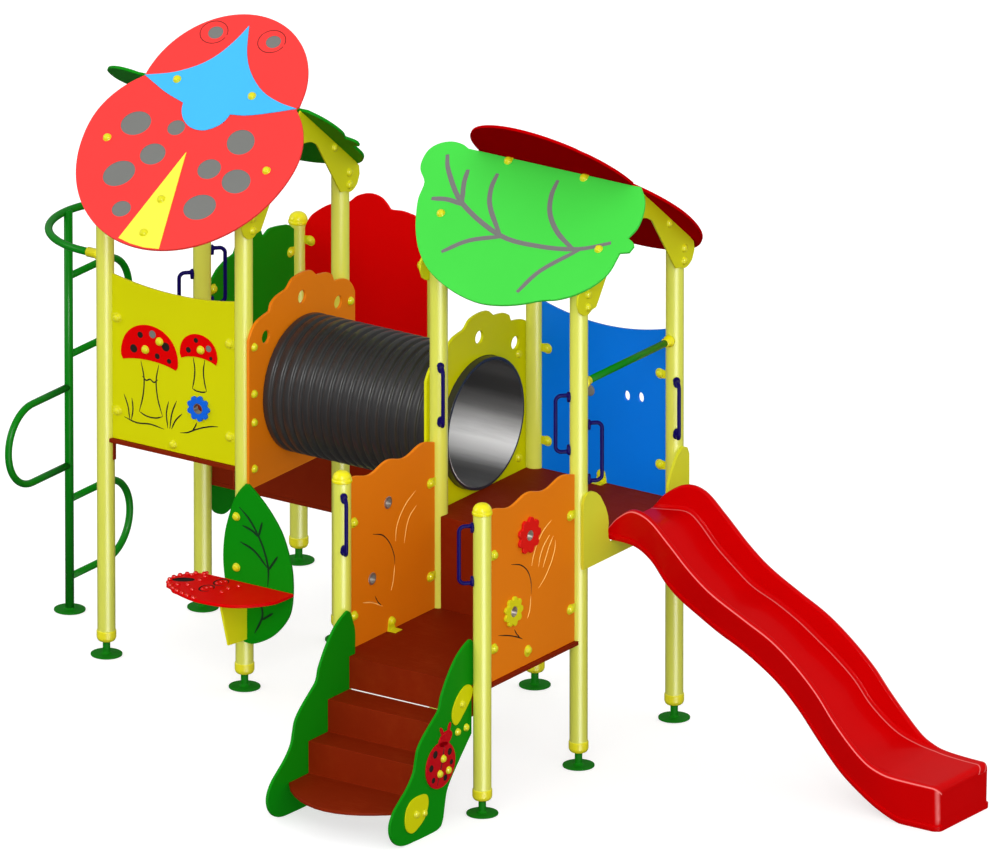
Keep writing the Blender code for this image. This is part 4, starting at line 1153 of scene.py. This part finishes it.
def through(table):
    """Smooth heights for a rising table of places, as a function."""
    def at(place):
        index = 0
        while index < len(table) - 2 and place > table[index + 1][0]:
            index += 1
        x1, z1 = table[index]
        x2, z2 = table[index + 1]
        x0, z0 = table[max(index - 1, 0)]
        x3, z3 = table[min(index + 2, len(table) - 1)]
        run = x2 - x1
        slope1 = run * (z2 - z0) / (x2 - x0)
        slope2 = run * (z3 - z1) / (x3 - x1)
        t = max(0, min(1, (place - x1) / run))
        return (
            z1 * (2 * t ** 3 - 3 * t * t + 1) + slope1 * (t ** 3 - 2 * t * t + t)
            + z2 * (3 * t * t - 2 * t ** 3) + slope2 * (t ** 3 - t * t)
        )
    return at


SLIDE_NEAR = 0.25
SLIDE_FAR = 0.786
SLIDE_TOP = 3.4303
FOOT_RIM = 0.036
crest_at = through([
    (3.43, 1.42), (3.50, 1.50), (3.62, 1.573), (3.75, 1.553), (3.89, 1.436), (4.05, 1.288), (4.20, 1.178),
    (4.43, 1.061), (4.62, 0.968), (4.79, 0.848), (4.95, 0.702), (5.06, 0.571), (5.19, 0.436), (5.30, 0.343),
    (5.40, 0.300), (5.47, 0.287), (5.60, 0.280), (5.80, 0.277),
])
chute_at = through([
    (3.43, 1.41), (3.57, 1.425), (3.65, 1.425), (3.70, 1.405), (3.76, 1.35), (3.86, 1.245),
    (3.99, 1.14), (4.12, 1.05), (4.30, 0.98), (4.46, 0.90), (4.60, 0.81), (4.73, 0.72), (4.86, 0.61),
    (4.96, 0.49), (5.08, 0.39), (5.18, 0.335), (5.30, 0.305), (5.40, 0.293), (5.47, 0.290), (5.60, 0.284),
    (5.80, 0.280),
])
belly_at = through([
    (3.43, 1.357), (3.63, 1.347), (3.75, 1.280), (3.85, 1.165), (3.95, 1.084), (4.09, 1.004), (4.23, 0.930),
    (4.37, 0.868), (4.51, 0.794), (4.66, 0.694), (4.80, 0.564), (4.94, 0.402), (5.09, 0.242), (5.23, 0.136),
    (5.37, 0.054), (5.52, 0.001), (5.66, 0.001), (5.80, 0.001),
])
spread_at = through([
    (3.43, 0), (3.53, 0.004), (3.70, 0.040), (3.90, 0.046), (4.10, 0.044), (4.35, 0.035), (4.60, 0.032),
    (4.85, 0.036), (5.05, 0.044), (5.20, 0.044), (5.35, 0.033), (5.50, 0.020), (5.65, 0.012), (5.80, 0.009),
])


def slide_ring(x, shut=False, sink=0):
    """One cross-section of the slide. shut closes the hollow below, sink draws it in all round."""
    crest = crest_at(x) - sink
    chute = min(chute_at(x), crest_at(x) - 0.0006) - sink
    foot = max(belly_at(x), 0.001)
    rim = foot + FOOT_RIM
    edge = [(-0.007, foot), (-0.0085, foot + 0.003), (-0.0085, foot + 0.030), (-0.007, foot + 0.034)]
    edge.append((0, rim))
    edge += [(0, rim + (crest - 0.026 - rim) * share) for share in (0.2, 0.4, 0.6, 0.8)]
    drop = min(0.014, (crest - chute) * 0.45)
    fillet = min(0.026, (crest - chute) * 0.50)
    edge += [
        (0, crest - 0.027), *arc((0.022, crest - 0.022), 0.022, 0.022, 180, 90, 8),
        *arc((0.030, crest - drop), 0.014, drop, 90, 0, 5),
        *arc((0.074, chute + fillet), -0.026, -fillet, 0, 90, 6),
        (0.078, chute), (0.082, chute), (0.150, chute),
    ]
    spread = spread_at(x)
    for place, (inset, z) in enumerate(edge):
        share = 1 if inset > 0.021 else max(0, min(1, (z - foot) / (crest - foot)))
        edge[place] = (inset - spread * share, z)
    under = foot + 0.0005 if shut else chute - 0.010
    hollow = [(0.010, foot), (0.010, foot + (under - foot) * 0.5), (0.012, under), (0.10, under)]
    near = SLIDE_NEAR + sink
    far = SLIDE_FAR - sink
    ring = [(near + inset, z) for inset, z in edge] + [(far - inset, z) for inset, z in reversed(edge)]
    ring += [(far - inset, z) for inset, z in hollow] + [(near + inset, z) for inset, z in reversed(hollow)]
    return [Vector((x, y, z)) for y, z in ring]


END_ROUND = 0.042
END = 5.787
stretch = END - END_ROUND - SLIDE_TOP
rings = [slide_ring(SLIDE_TOP + stretch * step / 110) for step in range(111)]
for step in range(1, 9):
    angle = pi / 2 * step / 8
    x = END - END_ROUND * (1 - sin(angle))
    sink = END_ROUND * (1 - cos(angle))
    if step == 5:
        rings.append(slide_ring(x, False, sink))
    rings.append(slide_ring(x, step >= 5, sink))
for ring in rings[-5:]:
    for point in ring:
        if point.z < FOOT_RIM:
            point.x += 0.0075
side = (len(rings[0]) - 8) // 2
far = 2 * side - 1
# Painted highlight: these rows of each ring, and the upright sides near the end's corner, are marked for the
# pale highlight lines.
highlight_at = {13: 1, 14: 0.5, far - 32: 0.9, far - 31: 0.4, far - 16: 0.7, far - 17: 0.3}
bm = bmesh.new()
highlight_layer = bm.verts.layers.float.new("painted_highlight_edge")
rows = [[bm.verts.new(point) for point in ring] for ring in rings]
for place, row in enumerate(rows):
    corner = max(0, 1 - abs(place - (len(rows) - 5)) / 3)
    for index, vert in enumerate(row):
        upright = 4 < index < 13 or 4 < far - index < 13
        vert[highlight_layer] = max(highlight_at.get(index, 0), corner * 0.75 if upright else 0)
closed(bm, rows)
bmesh.ops.remove_doubles(bm, verts=bm.verts, dist=0.00001)
for face in bm.faces:
    face.smooth = len(face.verts) < 6
creased(bm, 42)
piece("slide_shell", bm, gloss.owner, replaces=("slide",), slot="slide_red")


# Grab handles
# Ten bent steel tubes in a navy coat, each held on its post by a flared flange at both ends.

def arced(corners, radius, steps=10):
    """Path through corners with an arc at each inner corner."""
    way = [Vector(corners[0])]
    for before, corner, after in zip(corners, corners[1:], corners[2:]):
        corner = Vector(corner)
        back = (Vector(before) - corner).normalized()
        ahead = (Vector(after) - corner).normalized()
        half = back.angle(ahead) / 2
        centre = corner + (back + ahead).normalized() * (radius / sin(half))
        start = corner + back * (radius / tan(half)) - centre
        end = corner + ahead * (radius / tan(half)) - centre
        sweep = start.angle(end)
        for step in range(steps + 1):
            share = step / steps
            way.append(centre + (start * sin((1 - share) * sweep) + end * sin(share * sweep)) / sin(sweep))
    way.append(Vector(corners[-1]))
    apart = [way[0]]
    for spot in way[1:]:
        if (spot - apart[-1]).length > 0.002:
            apart.append(spot)
    return apart


def tube(bm, way, radius, flares=None):
    """Adds a round bar along a path to bm. flares scales the radius at each point."""
    curve = bpy.data.curves.new("bar", "CURVE")
    curve.dimensions = "3D"
    curve.bevel_depth = radius
    curve.bevel_resolution = 6
    curve.use_fill_caps = True
    spline = curve.splines.new("POLY")
    spline.points.add(len(way) - 1)
    for point, spot, flare in zip(spline.points, way, flares or [1] * len(way)):
        point.co = (*spot, 1)
        point.radius = flare
    holder = added("bar", curve)
    made = baked(holder)
    bpy.data.objects.remove(holder)
    known = len(bm.faces)
    bm.from_mesh(made)
    bm.faces.ensure_lookup_table()
    for face in bm.faces[known:]:
        face.smooth = len(face.verts) < 6
    bmesh.ops.remove_doubles(bm, verts=bm.verts, dist=0.00002)
    bmesh.ops.recalc_face_normals(bm, faces=bm.faces)


navy_coat = powder_coat("navy_coat", tint(12, 0, 88), 0.46, 0.03, dirt=0, gleam=0.08)
HANDLE_REACH = 0.139
flange_reach = (0.0525, 0.0660, 0.0700, 0.0760, 0.084)
flange_flare = [1.8, 1.8, 1.25, 1.02]
for name, x, y, side_x, side_y, low, high in (
    ("handle_stair_left", 2.4, -1, 1, -1, 1.45, 1.795),
    ("handle_stair_right", 3.4, -1, -1, -1, 1.445, 1.80),
    ("handle_deck_left", 2.4, 0, 1, -1, 1.96, 2.318),
    ("handle_deck_right", 3.4, 0, -1, -1, 1.97, 2.32),
    ("handle_slide_front", 3.4, 0, 1, 1, 1.78, 2.14),
    ("handle_slide_back", 3.4, 1, 1, -1, 1.793, 2.135),
    ("handle_climber_front", 0, 0, -1, 1, 1.75, 2.12),
    ("handle_climber_back", 0, 1, -1, -1, 1.75, 2.12),
    ("handle_landing_left", 0, 1, 1, 1, 1.92, 2.265),
    ("handle_landing_right", 1, 1, -1, 1, 1.92, 2.265),
):
    out = Vector((side_x, side_y, 0)).normalized()
    foot = Vector((x, y, low))
    head = Vector((x, y, high))
    first = [foot + out * reach for reach in flange_reach]
    last = [head + out * reach for reach in reversed(flange_reach)]
    bend = arced([first[-1], foot + out * HANDLE_REACH, head + out * HANDLE_REACH, last[0]], 0.035)
    bm = bmesh.new()
    tube(bm, first[:-1] + bend + last[1:], 0.012, flange_flare + [1] * len(bend) + flange_flare[::-1])
    pad = face_of((x, y, 0), UP.cross(out), UP)
    for height in (low + 0.012, high - 0.012):
        inlay(bm, pad, oval((0, height), 0.020, 0.031), 0.020, 0.050, ease=0.004)
    piece(name + "_bar", bm, navy_coat, replaces=(name,), slot="handle_navy")


# Guard bar and its sockets
# A straight green tube across the way to the slide, in a yellow socket on each post.

green_coat = powder_coat("green_pipe_coat", tint(0, 122, 10), 0.36, 0.16, dirt=0.04, gleam=0.12)
BAR_X = 3.4
BAR_HEIGHT = 2.38
bm = bmesh.new()
tube(bm, [(BAR_X, 0.080, BAR_HEIGHT), (BAR_X, 0.920, BAR_HEIGHT)], 0.0225)
piece("slide_guard_bar_tube", bm, green_coat, replaces=("slide_guard_bar",), slot="pipe_green")
bm = bmesh.new()
for start, way in ((0.050, 1), (0.950, -1)):
    cup = [(BAR_X, start + way * step, BAR_HEIGHT) for step in (0, 0.016, 0.020, 0.052, 0.056)]
    tube(bm, cup, 0.028, [1.32, 1.32, 1.04, 1, 0.92])
piece("guard_bar_sockets", bm, bright_yellow, slot="post_yellow")


# Climbing frame
# A bent green tube pole with three side loops, and a flat hoop that joins its head to the tower.

POLE_X = -0.629
POLE_Y = 0.514
LOOP_REACH = 0.625
HOOP_FROM = -0.115
HOOP_X = -0.65
HOOP_HEIGHT = 2.510
bm = bmesh.new()
tube(bm, [(POLE_X, POLE_Y, 0.008), (POLE_X, POLE_Y, HOOP_HEIGHT + 0.012)], 0.0270)
for way_y, low, high in ((1, 0.21, 0.70), (-1, 0.918, 1.412), (1, 1.61, 2.105)):
    far = POLE_Y + way_y * LOOP_REACH
    corners = [(POLE_X, y, z) for y, z in ((POLE_Y, low), (far, low), (far, high), (POLE_Y, high))]
    tube(bm, arced(corners, (high - low) / 2 * 0.999, 16), 0.0220)
corners = [(x, y, HOOP_HEIGHT) for x, y in ((HOOP_FROM, 0), (HOOP_X, 0), (HOOP_X, 1), (HOOP_FROM, 1))]
tube(bm, arced(corners, 0.499, 28), 0.0235)
piece("climber_frame", bm, green_coat, replaces=("climber",), slot="pipe_green")
foot_plate = turned([
    (0, 0), (0.095, 0), (0.095, 0.010), (0.036, 0.011), (0.026, 0.020), (0, 0.020),
], ease=0.003)
piece("climber_foot_plate", stamp(foot_plate, shift(POLE_X, POLE_Y)), anchor_green, slot="pipe_green")
bm = bmesh.new()
for y in (0, 1):
    tube(bm, [(x, y, HOOP_HEIGHT) for x in (-0.040, -0.056, -0.060, -0.125)], 0.030, [1.14, 1.14, 1, 1])
piece("hoop_sleeves", bm, bright_yellow, slot="post_yellow")


# Flowers
# Scalloped discs of board on hollow hubs, free to turn in round holes in the panels.

PETALS = 9
FACE_OUT = 0.0275
DISC_BORE = 0.0325
hub_steel = pipe_plastic("brushed_hub_steel", tint(196, 186, 176), 0.24, 0.9)
hub = turned([
    (0.0285, 0.0262), (0.0320, 0.0262), (0.0320, 0.0100), (0.0345, 0.0100), (0.0345, -0.0098),
    (0.0385, -0.0098), (0.0385, -0.0125), (0.0350, -0.0145), (0.0285, -0.0145), (0.0285, 0.0262),
], 48, 0.0006)
flower_paints = {
    "red": board_plastic("flower_red_board", tint(216, 22, 14)),
    "yellow": board_plastic("flower_yellow_board", tint(212, 206, 20)),
    "blue": board_plastic("flower_blue_board", tint(14, 96, 214)),
    "white": board_plastic("flower_white_board", tint(226, 226, 222)),
}
for node, shade, centre, out, radius in (
    ("flower_right_upper", "red", (3.4, -0.54, 1.605), (1, 0, 0), 0.1125),
    ("flower_right_lower", "yellow", (3.4, -0.705, 1.178), (1, 0, 0), 0.0925),
    ("flower_left_upper", "white", (2.4, -0.54, 1.605), (-1, 0, 0), 0.1125),
    ("flower_left_lower", "red", (2.4, -0.705, 1.178), (-1, 0, 0), 0.0925),
    ("flower_front", "blue", (0.684, 0, 1.692), (0, -1, 0), 0.080),
):
    turn = Vector(out).to_track_quat("Z", "Y").to_matrix().to_4x4()
    disc = shift(*centre) @ turn @ shift(0, 0, FACE_OUT)
    scallops = []
    for step in range(144):
        angle = 2 * pi * step / 144
        reach = radius * (1 - 0.19 * (0.5 - 0.5 * cos(PETALS * angle)) ** 1.8)
        scallops.append((reach * cos(angle), reach * sin(angle)))
    bore = oval((0, 0), DISC_BORE, -DISC_BORE, 0, 48)
    rings = [[disc @ Vector((*point, 0)) for point in outline] for outline in (scallops, bore)]
    bm = slab(rings, Vector(out), THICK, 0.003)
    spinner = node + "_spinner"
    piece(node + "_disc", bm, flower_paints[shade], spinner, replaces=(node,), slot="flower_" + shade)
    piece(node + "_hub", stamp(hub, shift(*centre) @ turn), hub_steel, spinner)
